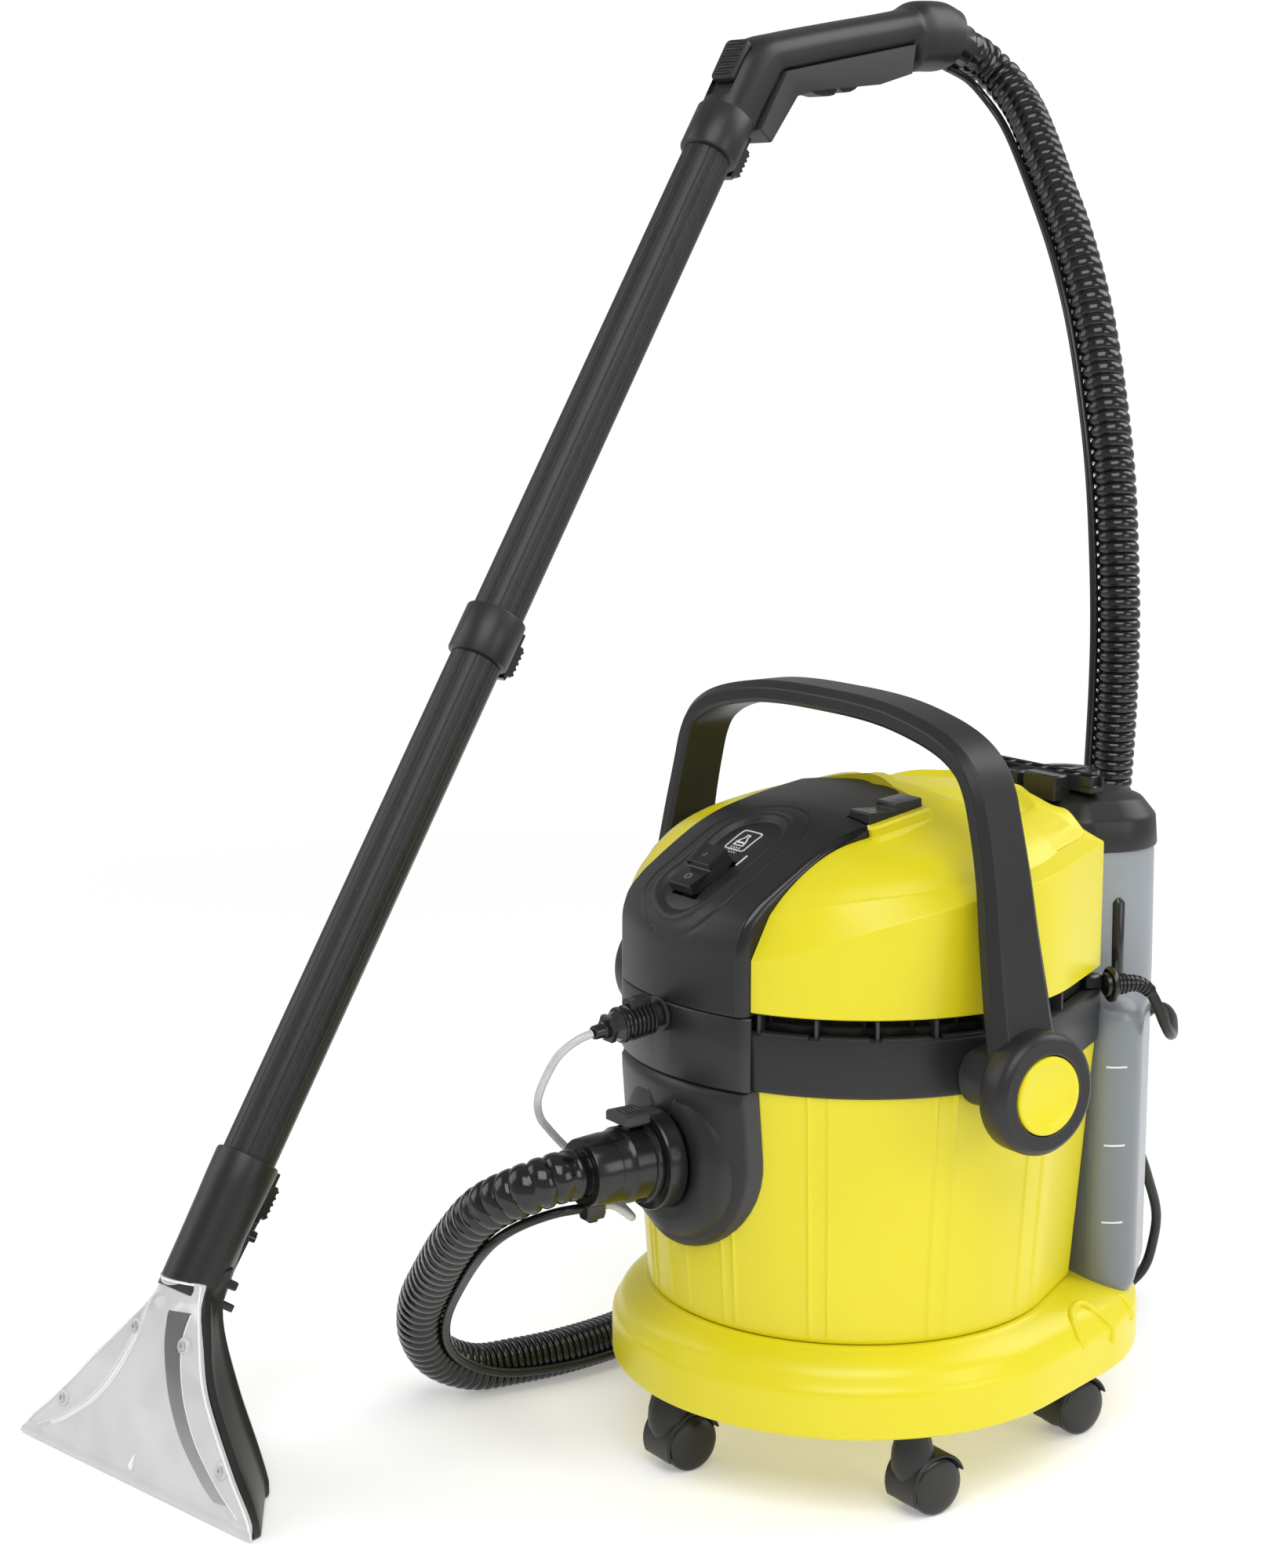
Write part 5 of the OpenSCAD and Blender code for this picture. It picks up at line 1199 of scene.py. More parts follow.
def make_quick_connector():
    s = Shape()
    s.spun([(7.5, -2.4), (7.5, 1.3), (10.6, 1.4), (11, 1.8), (11, 3.2), (10.5, 3.7), (7.6, 3.7),
            (7.5, 7.6), (7, 8)],
           AT_QUICK, 56)
    piece("quick_socket", s, ["black_satin"], "machine", "gloss_black")
    s = Shape()
    rows = [(5, 8), (8.6, 8.2), (9.4, 8.8)]
    for k in range(6):
        z = 9.2 + 3 * k
        rows += [(9.5, z), (10.7, z + 0.5), (11, z + 1.0), (11, z + 1.6), (10.6, z + 2.0), (9.5, z + 2.4)]
    rows += [(9.2, 27.6), (9.2, 28.4), (10.8, 28.9), (11, 29.4), (11, 31), (10.6, 31.5)]
    s.spun(rows + [(9.4, 31.6)], AT_QUICK, 64)
    s.spun([(10.2, 31.5), (7.4, 36.8)], AT_QUICK, 8)
    s.spun([(8.6, 36.6), (9, 37), (9, 39.8), (8.6, 40.2)], AT_QUICK, 6)
    s.spun([(5.2, 40), (5.4, 40.4), (5.4, 42.6), (4.4, 43.2), (4.2, 48.6), (3.8, 49.2), (2.9, 49.3)],
           AT_QUICK, 40)
    s.slab([(-4.8, 6), (4.8, 6), (4.8, 12.6), (3.8, 13.8), (-3.8, 13.8), (-4.8, 12.6)], 9.6, 24, AT_QUICK,
           0.6)
    piece("quick_connector", s, ["black_gloss"], "machine", "gloss_black", sharp=28)


# ---------- handle ----------

STRAP = [
    (0, 0), (30, 0.3), (58, 2), (82, 5.5), (106, 11), (124, 18), (138, 28), (147, 42), (153, 60),
    (161.5, 92), (168, 125), (174, 152), (181, 182), (188, 205),
]
STRAP_SECTION = [
    (-12.2, 0), (-17, -4.6), (-17, -11.6), (-15.2, -14), (15.2, -14), (17, -11.6), (17, -4.6),
    (12.2, 0),
]


def make_handle():
    half = spline([(x, 0, HANDLE_TOP - drop) for x, drop in STRAP], 6)
    line = [Vector((-p.x, 0, p.z)) for p in half[:0:-1]] + half
    rings = []
    for i, p in enumerate(line):
        d = (line[min(i + 1, len(line) - 1)] - line[max(i - 1, 0)]).normalized()
        out = Vector((-d.z, 0, d.x))
        wide = step(HANDLE_TOP - p.z, 55, 205)
        rings.append([p + out * h + Vector((0, PIN_Y + w * (1 + wide * (0.5 if w < 0 else 0.24)), 0))
                      for w, h in STRAP_SECTION])
    s = Shape()
    s.loft([ring[::-1] for ring in rings])
    for side in (1, -1):
        at = mirrored(side) @ moved(0, PIN_Y, PIN_Z) @ turned(90, "Y")
        low, high = HUB_FACE - HUB_T, HUB_FACE
        s.spun([(20, low), (34.2, low), (35.6, low + 0.8), (HUB_R, low + 2), (HUB_R, high - 6),
                (35.4, high - 3.4),
                (33.4, high - 0.9), (31.6, high), (24.4, high), (23.6, high - 0.8), (23.6, high - 4.4),
                (12, high - 4.5)],
               at, 96)
    piece("carry_handle", s, ["black_satin"], "handle", "satin_black", sharp=26, soften=0.7)
    s = Shape()
    for side in (1, -1):
        at = mirrored(side) @ moved(HUB_FACE - 4.4, PIN_Y, PIN_Z) @ turned(90, "Y")
        s.spun([(23, 0), (23, 4.0), (22.6, 4.9), (21.6, 5.4), (20.4, 5.5), (18.6, 5.3), (17.6, 4.8),
                (15, 4.3), (10, 3.7),
                (4, 3.45), (0.5, 3.4)], at, 80)
    piece("hub_caps", s, ["yellow_cap"], "handle", "yellow_shell", sharp=40)


# ---------- fresh water tank ----------

TANK_LEVELS = [
    (0, 1, 9, TANK_LOW), (1, 1, 3.6, 90), (2, 1, 0.5, 97), (3, 1, 0, 104), (4, 1, 0, 266),
    (5, 0.95, 0.1, 273), (6, 0.72, 0, 280), (7, 0.36, 0, 286), (8, 0.08, 0, 291), (9, 0, 0, 297),
    (10, 0, 1, TANK_TOP),
]


def tank_level(q):
    return tank_ring(column(TANK_LEVELS, 1, q), column(TANK_LEVELS, 2, q), column(TANK_LEVELS, 3, q))


def make_tank():
    s = Shape()
    s.loft([tank_level(q) for q in counted(0, 4, 16) + counted(4.2, 10, 36)])
    s.tone = 1
    # Level ticks on both lobes
    for side in (1, -1):
        for z in (239.8, 188.8, 138.2):
            arc = [(side * (84 + 20.1 * math.cos(a)), 142 + 20.1 * math.sin(a), z)
                   for a in (math.radians(d) for d in counted(-52, -14, 10))]
            s.rope(arc, 0.7, 6)
    s.tone = 2
    # Gripping strip on each side of the upper part
    for side in (1, -1):
        x, y, low, high = 77.6, 150, 276, 342
        s.rope([(side * x, y, low), (side * (x + 0.6), y, low + 3), (side * (x + 0.6), y, high - 3),
                (side * x, y, high)], [2.2, 4.4, 4.4, 2.2], 12)
    piece("fresh_tank", s, ["tank_smoke", "mark_white", "black_gloss"], "machine", "tank_smoke",
         sharp=50)


def make_tank_top():
    s = Shape()
    rows = [(0.4, 371.4), (-0.4, 372), (-0.7, 373), (0.6, 390), (1.3, 391.6), (2.4, 392.9), (8.6, 400.6),
            (9.9, 401.8),
            (11.4, 402.6), (19, 405.6), (21, 406.1), (26, 406.4)]
    s.loft([tank_ring(0, inset, z) for inset, z in rows])
    piece("tank_cap", s, ["black_satin"], "machine", "satin_black", sharp=24)

    s = Shape()
    front = TANK_FRONT + 15
    s.block((-64, front, 407), (64, front + 12, 412), None, 1)
    s.block((-64, front, 411), (64, front + 2, 418), None, 0.7)
    s.block((-64, front + 10, 411), (64, front + 12, 418), None, 0.7)
    for i in range(9):
        x = -62 + 15 * i
        s.block((x, front + 1, 411), (x + 2.2, front + 11, 417.4), None, 0.5)
    s.block((14, front - 12, 400), (44, front + 2, 417), None, 1.2)
    s.block((-44, front - 12, 400), (-14, front + 2, 417), None, 1.2)
    s.block((-8, front - 12, 402), (8, front + 4, 415), None, 1.2)
    piece("tank_frame", s, ["black_gloss"], "machine", "satin_black")

    s = Shape()
    at = moved(0, TANK_FRONT + 52, CAP_TOP)
    s.spun([(18.8, -5), (19, -4.6), (19, 0.3), (22.6, 0.35), (23, 0.8), (23, 3.2), (22.4, 3.8), (16, 3.8),
            (15.4, 3.2),
            (2, 3.2)], at, 72)
    s.block((-3, -15, 3), (3, 15, 3.9), at, 0.4)
    piece("tank_lid", s, ["black_gloss"], "tank_lid", "gloss_black")


def make_gland():
    s = Shape()
    s.spun([(7, -1), (7.5, 0), (7.5, 4.4), (7, 5), (6.5, 5.4), (6.1, 8), (5.6, 12), (5.2, 13.6),
            (4.2, 14)], AT_GLAND, 40)
    s.block((92, 104, 293), (101, 117, 302), None, 1.4)
    for k in range(3):
        s.spun([(6.4 - 0.3 * k, 6.2 + 2.6 * k), (7 - 0.3 * k, 6.6 + 2.6 * k),
                (7 - 0.3 * k, 7.6 + 2.6 * k),
                (6.3 - 0.3 * k, 8 + 2.6 * k)], AT_GLAND, 32)
    ring = [(math.cos(a), math.sin(a)) for a in counted(0, 2 * math.pi, 28)]
    s.rope([(9.5 * a, 9.5 * b, 3) for a, b in ring], 1.8, 8, AT_GLAND)
    # Tapered strain relief that follows the lead's first stretch
    lead = Run(LEAD_ROUTE)
    marks = counted(4, 27, 46)
    thick = [LEAD_R + 2.0 - 1.5 * (d - 4) / 23 + 0.35 * (1 if (d % 3) < 1.7 else -1) for d in marks]
    s.rope([lead.at(d) for d in marks], [t - 0.8 if i in (0, len(marks) - 1) else t for i,
                                         t in enumerate(thick)], 24)
    piece("cable_gland", s, ["black_gloss"], "machine", "gloss_black")


# ---------- casters ----------

def caster_places():
    for i in range(1, 6):
        a = math.radians(-94 + 72 * (i - 1))
        yield i, moved(CASTER_CIRCLE * math.cos(a), CASTER_CIRCLE * math.sin(a), 0)


def make_casters():
    for i, at in caster_places():
        s = Shape()
        axle = at @ moved(0, CASTER_TRAIL, WHEEL_R)
        # Hood over the discs, as an arch with softened sides that comes down in front of them
        rings = []
        for x, r in ((-14, 19.0), (-13.7, 19.9), (-12.8, 20.5), (12.8, 20.5), (13.7, 19.9), (14, 19.0)):
            low = 18.7
            out = [(x, r * math.cos(a), r * math.sin(a)) for a in (math.radians(d)
                                                                   for d in counted(22, 205, 48))]
            inner = [(x, low * math.cos(a), low * math.sin(a)) for a in (math.radians(d)
                                                                         for d in counted(205, 22, 48))]
            rings.append(out + inner)
        s.loft(rings, axle)
        wall = [(0, 17.6), (6, 17.2), (12, 13.6), (17, 6.6), (18.4, 0), (14, -6), (4, -7.6), (-6, -7.6),
                (-13, -2), (-17.4, 6)]
        s.slab([(z, y) for y, z in wall], -3.4, 3.4,
               axle @ turned(90, "Y") @ turned(180, "X") @ mirrored(-1), 0.4)
        s.spun([(9.6, 22), (12.6, 28), (13, 34), (12.6, 40), (11.4, 45), (10.4, 49), (10, 52.6),
                (9.4, 53)], at, 48)
        s.spun([(5, 52), (5, 79)], at, 24)
        piece("caster_fork_%d" % i, s, ["black_grain"], "caster_%d" % i, "satin_black", sharp=32)
        s = Shape()
        for side in (1, -1):
            disc = axle @ mirrored(side) @ turned(90, "Y")
            s.tone = 0
            s.spun([(17.2, 4.1), (17.9, 4.8), (18, 5.6), (18, 10.4), (17.7, 11.7), (16.9, 12.6),
                    (15.6, 13.2), (12.4, 13.8),
                    (8, 14.3), (3.6, 14.5), (0.5, 14.55)], disc, 80)
        s.spun([(3, -5), (3, 5)], axle @ turned(90, "Y"), 24)
        piece("caster_wheel_%d" % i, s, ["black_gloss"], "wheel_%d" % i, "gloss_black", sharp=40)


# ---------- wand ----------

FRONT_HALF = [(0, 1), (8, 0.965), (30, 0.77), (60, 0.53), (90, 0.325), (120, 0.172), (140, 0.15)]
REAR_HALF = [(0, 77), (30, 60), (60, 42), (104, 21), (140, 18)]
REAR_S = [(0, 50), (10, 54), (60, 56), (104, 62), (125, 72), (140, 82)]


SCREW_SPOTS = [(-24, 92), (24, 92), (-80, 32), (80, 32)]


def wrap_back(z):
    """How far the nozzle's front edges draw back round the neck."""
    return 14 * step(z, 62, 128)


def window_s(z):
    return WINDOW_T + 0.5 + z * math.tan(math.radians(WINDOW_SLOPE))


def make_nozzle():
    s = Shape()
    rings = []
    for z in [0.6, 1.4, 3, 8, 14] + counted(20, 125, 18):
        f = NOZZLE_W / 2 * smooth(FRONT_HALF, z) - 1.5
        b = smooth(REAR_HALF, z)
        front, rear = window_s(z) + 1.2, smooth(REAR_S, z)
        trim = 1.6 if z < 1 else 0.5 if z < 2 else 0
        f, b, rear = f - trim, b - trim, rear - trim
        edge = front + wrap_back(z)
        ring = [(f * u, front + wrap_back(z) * u * u, z) for u in (-1, -0.75, -0.5, -0.25, 0, 0.25, 0.5,
                                                                   0.75, 1)]
        ring += [(f - 0.4, edge + 5, z), (f - 2, edge + 7, z)]
        ring += [(b + (f - 2 - b) * t, rear - 7 - (rear - 7 - edge - 7) * t, z)
                 for t in (0.75, 0.5, 0.25)]
        ring += [(b, rear - 7, z), (b - 1.2, rear - 3, z), (b - 4, rear - 0.8, z), (b - 7, rear, z)]
        ring += [(-x, y, z) for x, y, z in ring[:8:-1]]
        rings.append(ring)
    s.loft(rings, WAND)
    s.spun([(17.7, -31), (17.2, -92), (18.6, -92), (19.0, -84), (19.3, -60), (19.9, -34), (20.4, -20),
            (20.7, -2),
            (20.2, -0.5), (19.2, 0), (18.2, -0.2), (17.7, -1)], TUBE_LINE, 96, loop=True)
    # Spine that carries the neck into the shell's back
    s.loft([[(-7, 8, -104), (7, 8, -104), (12, 20, -104), (7, 26, -104), (-7, 26, -104), (-12, 20, -104)],
            [(-9, 8, -84), (9, 8, -84), (12.5, 16, -84), (8, 23.6, -84), (-8, 23.6, -84),
             (-12.5, 16, -84)],
            [(-8, 8, -56), (8, 8, -56), (11, 15, -56), (6.6, 21.4, -56), (-6.6, 21.4, -56),
             (-11, 15, -56)],
            [(-5, 8, -34), (5, 8, -34), (7, 15, -34), (4, 20.4, -34), (-4, 20.4, -34), (-7, 15, -34)]],
           TUBE_LINE)
    piece("nozzle_shell", s, ["black_satin"], "machine", "satin_black", sharp=28)
    make_window()
    make_spray_jet()


def window_half(z):
    return NOZZLE_W / 2 * smooth(FRONT_HALF, z)


def channel_edge(z):
    """Half width of the air channel's curved wall under the window."""
    return smooth([(0, 109), (6, 104), (22, 76), (45, 47), (70, 30), (95, 20.5), (118, 17.5)], z)


def window_spot(x, z, proud):
    """Point on the window's front, in its own frame."""
    return x, wrap_back(z) * min(1, (x / window_half(z)) ** 2) - WINDOW_T - proud, z


def channel_rise(x, z):
    return 3.6 * step(channel_edge(z) - abs(x), 0, 9) * (1 - step(z, 108, 118)) * step(z, 5, 16)


# Columns of the window's mesh on each side of its middle: channel floor, channel wall, rim
FLAT_STEPS, WALL_STEPS, RIM_STEPS = 12, 14, 8


def make_window():
    s = Shape()
    heights = [0.8, 1.4] + counted(4, 126, 48) + [127.6, 128.4]
    rings = []
    for z in heights:
        h = window_half(z) - (1.2 if z in (heights[0], heights[-1]) else 0)
        e = min(channel_edge(z) + 1.5, h - 1)
        w = min(10.5, e * 0.55)
        half = (counted(0, e - w, FLAT_STEPS) + counted(e - w, e, WALL_STEPS)[1:]
                + counted(e, h, RIM_STEPS)[1:])
        across = [-x for x in half[:0:-1]] + half
        lip = 1.6 * (1 - step(abs(z - 3.5), 2.0, 4.0))
        grooves = 0.7 * max(0.0, 1 - min(abs(z - g) for g in (113, 117.4, 121.8)) / 1.3)
        front = [window_spot(x, z, channel_rise(x, z) + lip + grooves) for x in across]
        back = [(x, y + WINDOW_T, z) for x, y, z in front]
        rings.append(front + back[::-1])
    s.loft(rings, AT_WINDOW)
    # Painted shade on the channel's right wall, and a painted highlight as a pale band on its left one
    count, middle = len(rings[0]), FLAT_STEPS + WALL_STEPS + RIM_STEPS
    # Faces of the channel's right wall take the painted shade
    shade = range(middle + FLAT_STEPS, middle + FLAT_STEPS + WALL_STEPS)
    painted_highlight_strip = range(middle - FLAT_STEPS - 12, middle - FLAT_STEPS - 2)
    for k, z in enumerate(heights[:-1]):
        if 12 < z < 110:
            for tone, strip in ((2, shade), (1, painted_highlight_strip)):
                for i in strip:
                    s.tones[k * count + i] = tone
    # The window's edge beads take the near-white painted highlight
    s.tone = 1
    for side in (-1, 1):
        s.rope([window_spot(side * (window_half(z) - 0.7), z, 0.3) for z in counted(1.5, 127, 40)], 0.8,
               8, AT_WINDOW)
        s.rope([window_spot(side * (channel_edge(z) + 1.5), z, 0.1) for z in counted(9, 110, 36)], 0.4, 8,
               AT_WINDOW)
    s.rope([window_spot(x, 127.4, 0.3) for x in counted(-16, 16, 12)], 0.7, 8, AT_WINDOW)
    s.rope([window_spot(x, 1.9, 1.4) for x in counted(-116.4, 116.4, 30)], 1.0, 8, AT_WINDOW)
    # Drop-shaped nub above the lip
    s.rope([(0, -WINDOW_T - 2.2, 10), (0.6, -WINDOW_T - 3.2, 12.6), (1.8, -WINDOW_T - 3.6, 16),
            (3, -WINDOW_T - 3.6, 20)],
           [1.0, 2.0, 1.2, 0.4], 12, AT_WINDOW)
    piece("nozzle_window", s, ["window_clear", "window_painted_highlight", "window_painted_shade"], "machine", "clear_window",
          sharp=40)
    s = Shape()
    for x, z in SCREW_SPOTS:
        at = AT_WINDOW @ moved(*window_spot(x, z, 0)) @ turned(90, "X")
        s.tone = 1
        s.spun([(5.2, -1.2), (5.4, 0.3), (4.8, 1.1), (4.2, 1.4), (3.4, 1.2)], at, 32)
        s.tone = 0
        s.spun([(3.0, 1.0), (3.0, 1.7), (2.4, 2.2), (1.1, 2.3), (0.9, 1.6), (0.2, 1.6)], at, 24)
    piece("nozzle_screws", s, ["plain_steel", "window_clear"], "machine", "screw_steel")


def make_spray_jet():
    s = Shape()
    r = SOCKET_R
    s.rope([(0, r + 6.5, -34), (0, r + 5.6, -50), (0, r + 5, -64), (0, r + 4.4, -78)], 2.2, 12, TUBE_LINE)
    s.block((-4.5, r - 1, -44), (4.5, r + 9.6, -39), TUBE_LINE, 0.8)
    s.block((-2, r + 8, -46), (2, r + 12, -41), TUBE_LINE, 0.6)
    s.block((-9, r - 1, -78), (9, r + 8.4, -72), TUBE_LINE, 0.8)
    s.slab([(-5.5, r - 1), (5.5, r - 1), (5.5, r + 9), (4.5, r + 16), (-4.5, r + 16), (-5.5, r + 9)],
           -90.4, -85.4,
           TUBE_LINE, 0.8)
    s.block((-4, r - 1, -90), (4, r + 6, -76), TUBE_LINE, 0.8)
    s.block((-5, r - 4, -104), (5, r + 7, -97), TUBE_LINE, 1)
    s.block((-3, r + 5, -108), (3, r + 9, -99), TUBE_LINE, 0.8)
    piece("spray_jet", s, ["black_gloss"], "machine", "gloss_black")


# Each latch and its place along the tubes
TUBE_LATCHES = (("latch_lower", -1), ("latch_middle", 387), ("latch_upper", 786))


def make_tube_latch(name, d):
    s = Shape()
    r = SOCKET_R
    s.slab([(-7, r + 0.4), (7, r + 0.4), (7, r + 3.4), (5.6, r + 4.6), (-5.6, r + 4.6), (-7, r + 3.4)],
           d - 34, d, TUBE_LINE,
           0.6)
    s.slab([(-6.6, r + 3.6), (6.6, r + 3.6), (6.6, r + 7.4), (5.2, r + 8.4), (-5.2, r + 8.4),
            (-6.6, r + 7.4)], d - 30,
           d - 8, TUBE_LINE, 1)
    for k in range(5):
        s.block((-6, r + 7.6, d - 28.6 + 4.2 * k), (6, r + 9.8, d - 26.4 + 4.2 * k), TUBE_LINE, 0.6)
    s.rope([(-7.2, r + 2, d - 34), (7.2, r + 2, d - 34)], 1.6, 12, TUBE_LINE)
    piece(name, s, ["black_gloss"], name, "gloss_black")


def flutes(r, z):
    """Round ring with fine grooves that run along the tube."""
    ring = []
    for j in range(288):
        nearest = abs((j * 1.25 + 11.25) % 22.5 - 11.25)
        deep = 0.5 * (1 - step(nearest, 0.7, 2.4))
        a = math.radians(j * 1.25)
        ring.append(((r - deep) * math.cos(a), (r - deep) * math.sin(a), z))
    return ring


def make_tubes():
    for name, start, length in (("lower_tube", 0, TUBE_L), ("upper_tube", TUBE_L, TUBE_L + 11)):
        s = Shape()
        end = start + length
        s.loft([flutes(TUBE_R - 1.8, start - 31), flutes(TUBE_R, start - 30), flutes(TUBE_R, end - 33)],
               TUBE_LINE)
        s.tone = 1
        s.spun([(TUBE_R - 1, end - 34.6), (TUBE_R + 0.9, end - 34.4), (SOCKET_R - 0.5, end - 33.4),
                (SOCKET_R, end - 32.2),
                (SOCKET_R, end - 1.2), (SOCKET_R - 0.6, end - 0.3), (TUBE_R + 0.6, end),
                (TUBE_R + 0.1, end - 0.6)],
               TUBE_LINE, 96)
        piece(name, s, ["tube_satin", "black_satin"], "machine", "satin_black", sharp=40)


GRIP = [
    (0, 523.1, 848.7, 554.1, 827.9, 18.6), (1, 535.6, 867.6, 566.4, 846.2, 18.6),
    (2, 547, 883, 577, 859.5, 18.5), (3, 562, 892.5, 584.5, 869.3, 18.3),
    (4, 592, 899, 600, 872.3, 18), (5, 652, 910, 655, 882.6, 17.5),
    (6, 706, 919.5, 709, 892.6, 18), (7, 731, 924.5, 731.6, 897, 19.5),
    (8, 737, 927, 741, 879.5, 21), (9, 748, 931.5, 758, 881, 22.5),
    (10, 772, 933, 770, 881.5, 22.5), (11, 790, 929, 780, 884, 22),
]
KEEL = [
    (556.2, 829.4), (584.2, 870.8), (731, 898.4), (727, 877), (689, 867), (653, 863), (612, 858.5),
    (595, 854), (567, 821),
]
TRIGGER = [
    (-2.5, -3), (4, -4), (10, -5), (16, -7.4), (22, -10), (30, -12), (38, -12.5), (43, -12.2),
    (45.4, -10), (46.4, -8), (48, -7.6), (50, -8.6), (52.5, -10.6), (56, -11.6), (62, -11.6),
    (68, -10.2), (73, -7.6), (76, -4.6), (76, -1), (-2.5, 2.4),
]


def make_grip():
    s = Shape()
    rings = []
    for q in counted(0, 11, 66):
        ux, uz, lx, lz, w = [column(GRIP, k, q) for k in (1, 2, 3, 4, 5)]
        upper, lower = Vector((0, ux, uz)), Vector((0, lx, lz))
        m, d = (upper + lower) / 2, (upper - lower) / 2
        ring = []
        for j in range(48):
            a = 2 * math.pi * j / 48
            c, v = math.cos(a), math.sin(a)
            square = 0.86 if q > 7.4 else 0.95 if c > 0 else 0.58
            ring.append(m + d * math.copysign(abs(c) ** square,
                                              c) + Vector((w * math.copysign(abs(v) ** square, v), 0, 0)))
        rings.append(ring)
    s.loft(rings, WAND)
    start = 2 * TUBE_L + 11
    end = Shape()
    end.spun([(17.2, start - 30), (17.5, start - 29), (17.5, start + 2)], TUBE_LINE, 72)
    bed = Shape()
    bed.slab(rounded(-10.9, -0.9, 10.9, 46.6, 4), -4.2, 20, AT_SLIDER, 0.1)
    cuff = Shape()
    cuff.spun([(16.7, -14), (16.7, 30)], AT_CUFF, 64)
    piece("grip_upper", s, ["black_satin"], "machine", "satin_black", sharp=36, cut=[bed, cuff],
         more=[end])

    s = Shape()
    s.slab([(z, y) for y, z in KEEL], -17.2, 17.2, WAND @ turned(-90, "Y"), 1.4)
    pocket = Shape()
    pocket.block((-7.4, -4, -12), (7.4, 86, 7), AT_TRIGGER, 0.1)
    piece("grip_lower", s, ["black_satin"], "machine", "satin_black", sharp=30, cut=[pocket])

    s = Shape()
    s.slab([(y, z) for y, z in TRIGGER], -7, 7, AT_TRIGGER @ turned(90, "Y") @ turned(90, "Z"), 1.2)
    s.rope([(-10.6, 0, 0), (10.6, 0, 0)], 2, 16, AT_TRIGGER)
    piece("spray_trigger", s, ["black_satin"], "trigger", "gloss_black", sharp=30)

    s = Shape()
    t = 12
    s.slab(rounded(-10, t, 10, t + 33, 3.6), -3.6, 1.9, AT_SLIDER, 0.8)
    for k in range(6):
        y = t + 3.4 + 5 * k
        s.block((-7.8, y, 1.4), (7.8, y + 2, 3.3), AT_SLIDER, 0.8)
    piece("air_slider", s, ["black_satin"], "slider", "gloss_black", sharp=30)

    s = Shape()
    s.spun([(16.5, -12.8), (16.5, 0.6), (17, 0.8), (17, 4), (16.7, 4.6), (16.7, 19.6), (17, 20),
            (16.9, 21), (16.2, 21.6)],
           AT_CUFF, 72)
    piece("swivel_cuff", s, ["black_gloss"], "cuff", "gloss_black")


def finish_inner_parts():
    # The motor plate takes the near-black painted shade of a gap
    for node, finish in (("motor_plate", "gap_painted_shade"), ("motor_can", "plain_steel"),
                         ("motor_rotor", "plain_steel"),
                         ("water_pump", "plain_steel"), ("float_cage", "yellow_cap"),
                         ("float_ball", "float_white"),
                         ("drum_seal", "seal_black"), ("spray_switch", "black_satin"),
                         ("power_switch", "black_satin")):
        repaint(node, finish)


# ---------- studio ----------

# Strength of the world's light: between these heights it goes from the horizon's to the zenith's
WORLD_FADE = (("From Min", 0.1), ("From Max", 0.6), ("To Min", 0.52), ("To Max", 0.34))
# Each lamp's name, place and target in metres, size in metres and power in watts
LAMPS = (
    ("key", (1.6, -1.0, 2.6), (0.1, 0, 0.35), 2.0, 50),
    ("fill", (-1.8, -1.9, 1.7), (0, 0, 0.3), 2.0, 22),
    ("rim", (0.6, 2.2, 2.2), (0, 0, 0.3), 1.8, 32),
    ("side", (2.6, 0.9, 1.1), (0.1, 0, 0.3), 1.2, 13),
)


def make_studio():
    scene = bpy.context.scene
    floor = bpy.data.meshes.new("studio_floor")
    around = [2 * math.pi * i / 96 for i in range(96)]
    floor.from_pydata([(FLOOR_R * math.cos(a), FLOOR_R * math.sin(a), 0) for a in around], [],
                      [range(96)])
    floor.materials.append(FINISHES["studio_floor"])
    obj = bpy.data.objects.new("studio_floor", floor)
    scene.collection.objects.link(obj)
    world = bpy.data.worlds.new("studio")
    scene.world = world
    world.use_nodes = True
    # Brighter at the horizon than overhead; the camera itself sees an even white
    tree = world.node_tree
    place = tree.nodes.new("ShaderNodeTexCoord")
    parts = tree.nodes.new("ShaderNodeSeparateXYZ")
    fade = tree.nodes.new("ShaderNodeMapRange")
    fade.interpolation_type = "SMOOTHSTEP"
    back = tree.nodes["Background"]
    back.inputs["Color"].default_value = (1, 1, 1, 1)
    for key, value in WORLD_FADE:
        fade.inputs[key].default_value = value
    seen = tree.nodes.new("ShaderNodeLightPath")
    either = tree.nodes.new("ShaderNodeMix")
    either.inputs[3].default_value = scene.extractor_sizes.surround
    for start, end in ((place.outputs["Generated"], parts.inputs[0]),
                       (parts.outputs["Z"], fade.inputs["Value"]),
                       (seen.outputs["Is Camera Ray"], either.inputs[0]),
                       (fade.outputs[0], either.inputs[2]),
                       (either.outputs[0], back.inputs["Strength"])):
        tree.links.new(start, end)
    for name, place, target, size, power in LAMPS:
        lamp = bpy.data.lights.new(name, "AREA")
        lamp.size, lamp.energy = size, power
        light = bpy.data.objects.new(name, lamp)
        scene.collection.objects.link(light)
        light.location = place
        light.rotation_euler = (Vector(target) - Vector(place)).to_track_quat("-Z", "Y").to_euler()


def make_camera():
    scene = bpy.context.scene
    lens = bpy.data.cameras.new("camera")
    lens.lens = scene.extractor_sizes.lens
    lens.sensor_width, lens.sensor_fit = 36, "AUTO"
    lens.clip_end = 50
    camera = bpy.data.objects.new("camera", lens)
    scene.collection.objects.link(camera)
    camera.location = (Vector(CAMERA_PLACE) + AXIS) * MM
    camera.rotation_euler = [math.radians(a) for a in CAMERA_TURN]
    scene.camera = camera
    scene.view_settings.view_transform = "Standard"


# ---------- add-on ----------

def colour_property(name, description, default):
    return bpy.props.FloatVectorProperty(name=name, description=description, default=default, size=3,
                                         min=0, max=1, subtype="COLOR")


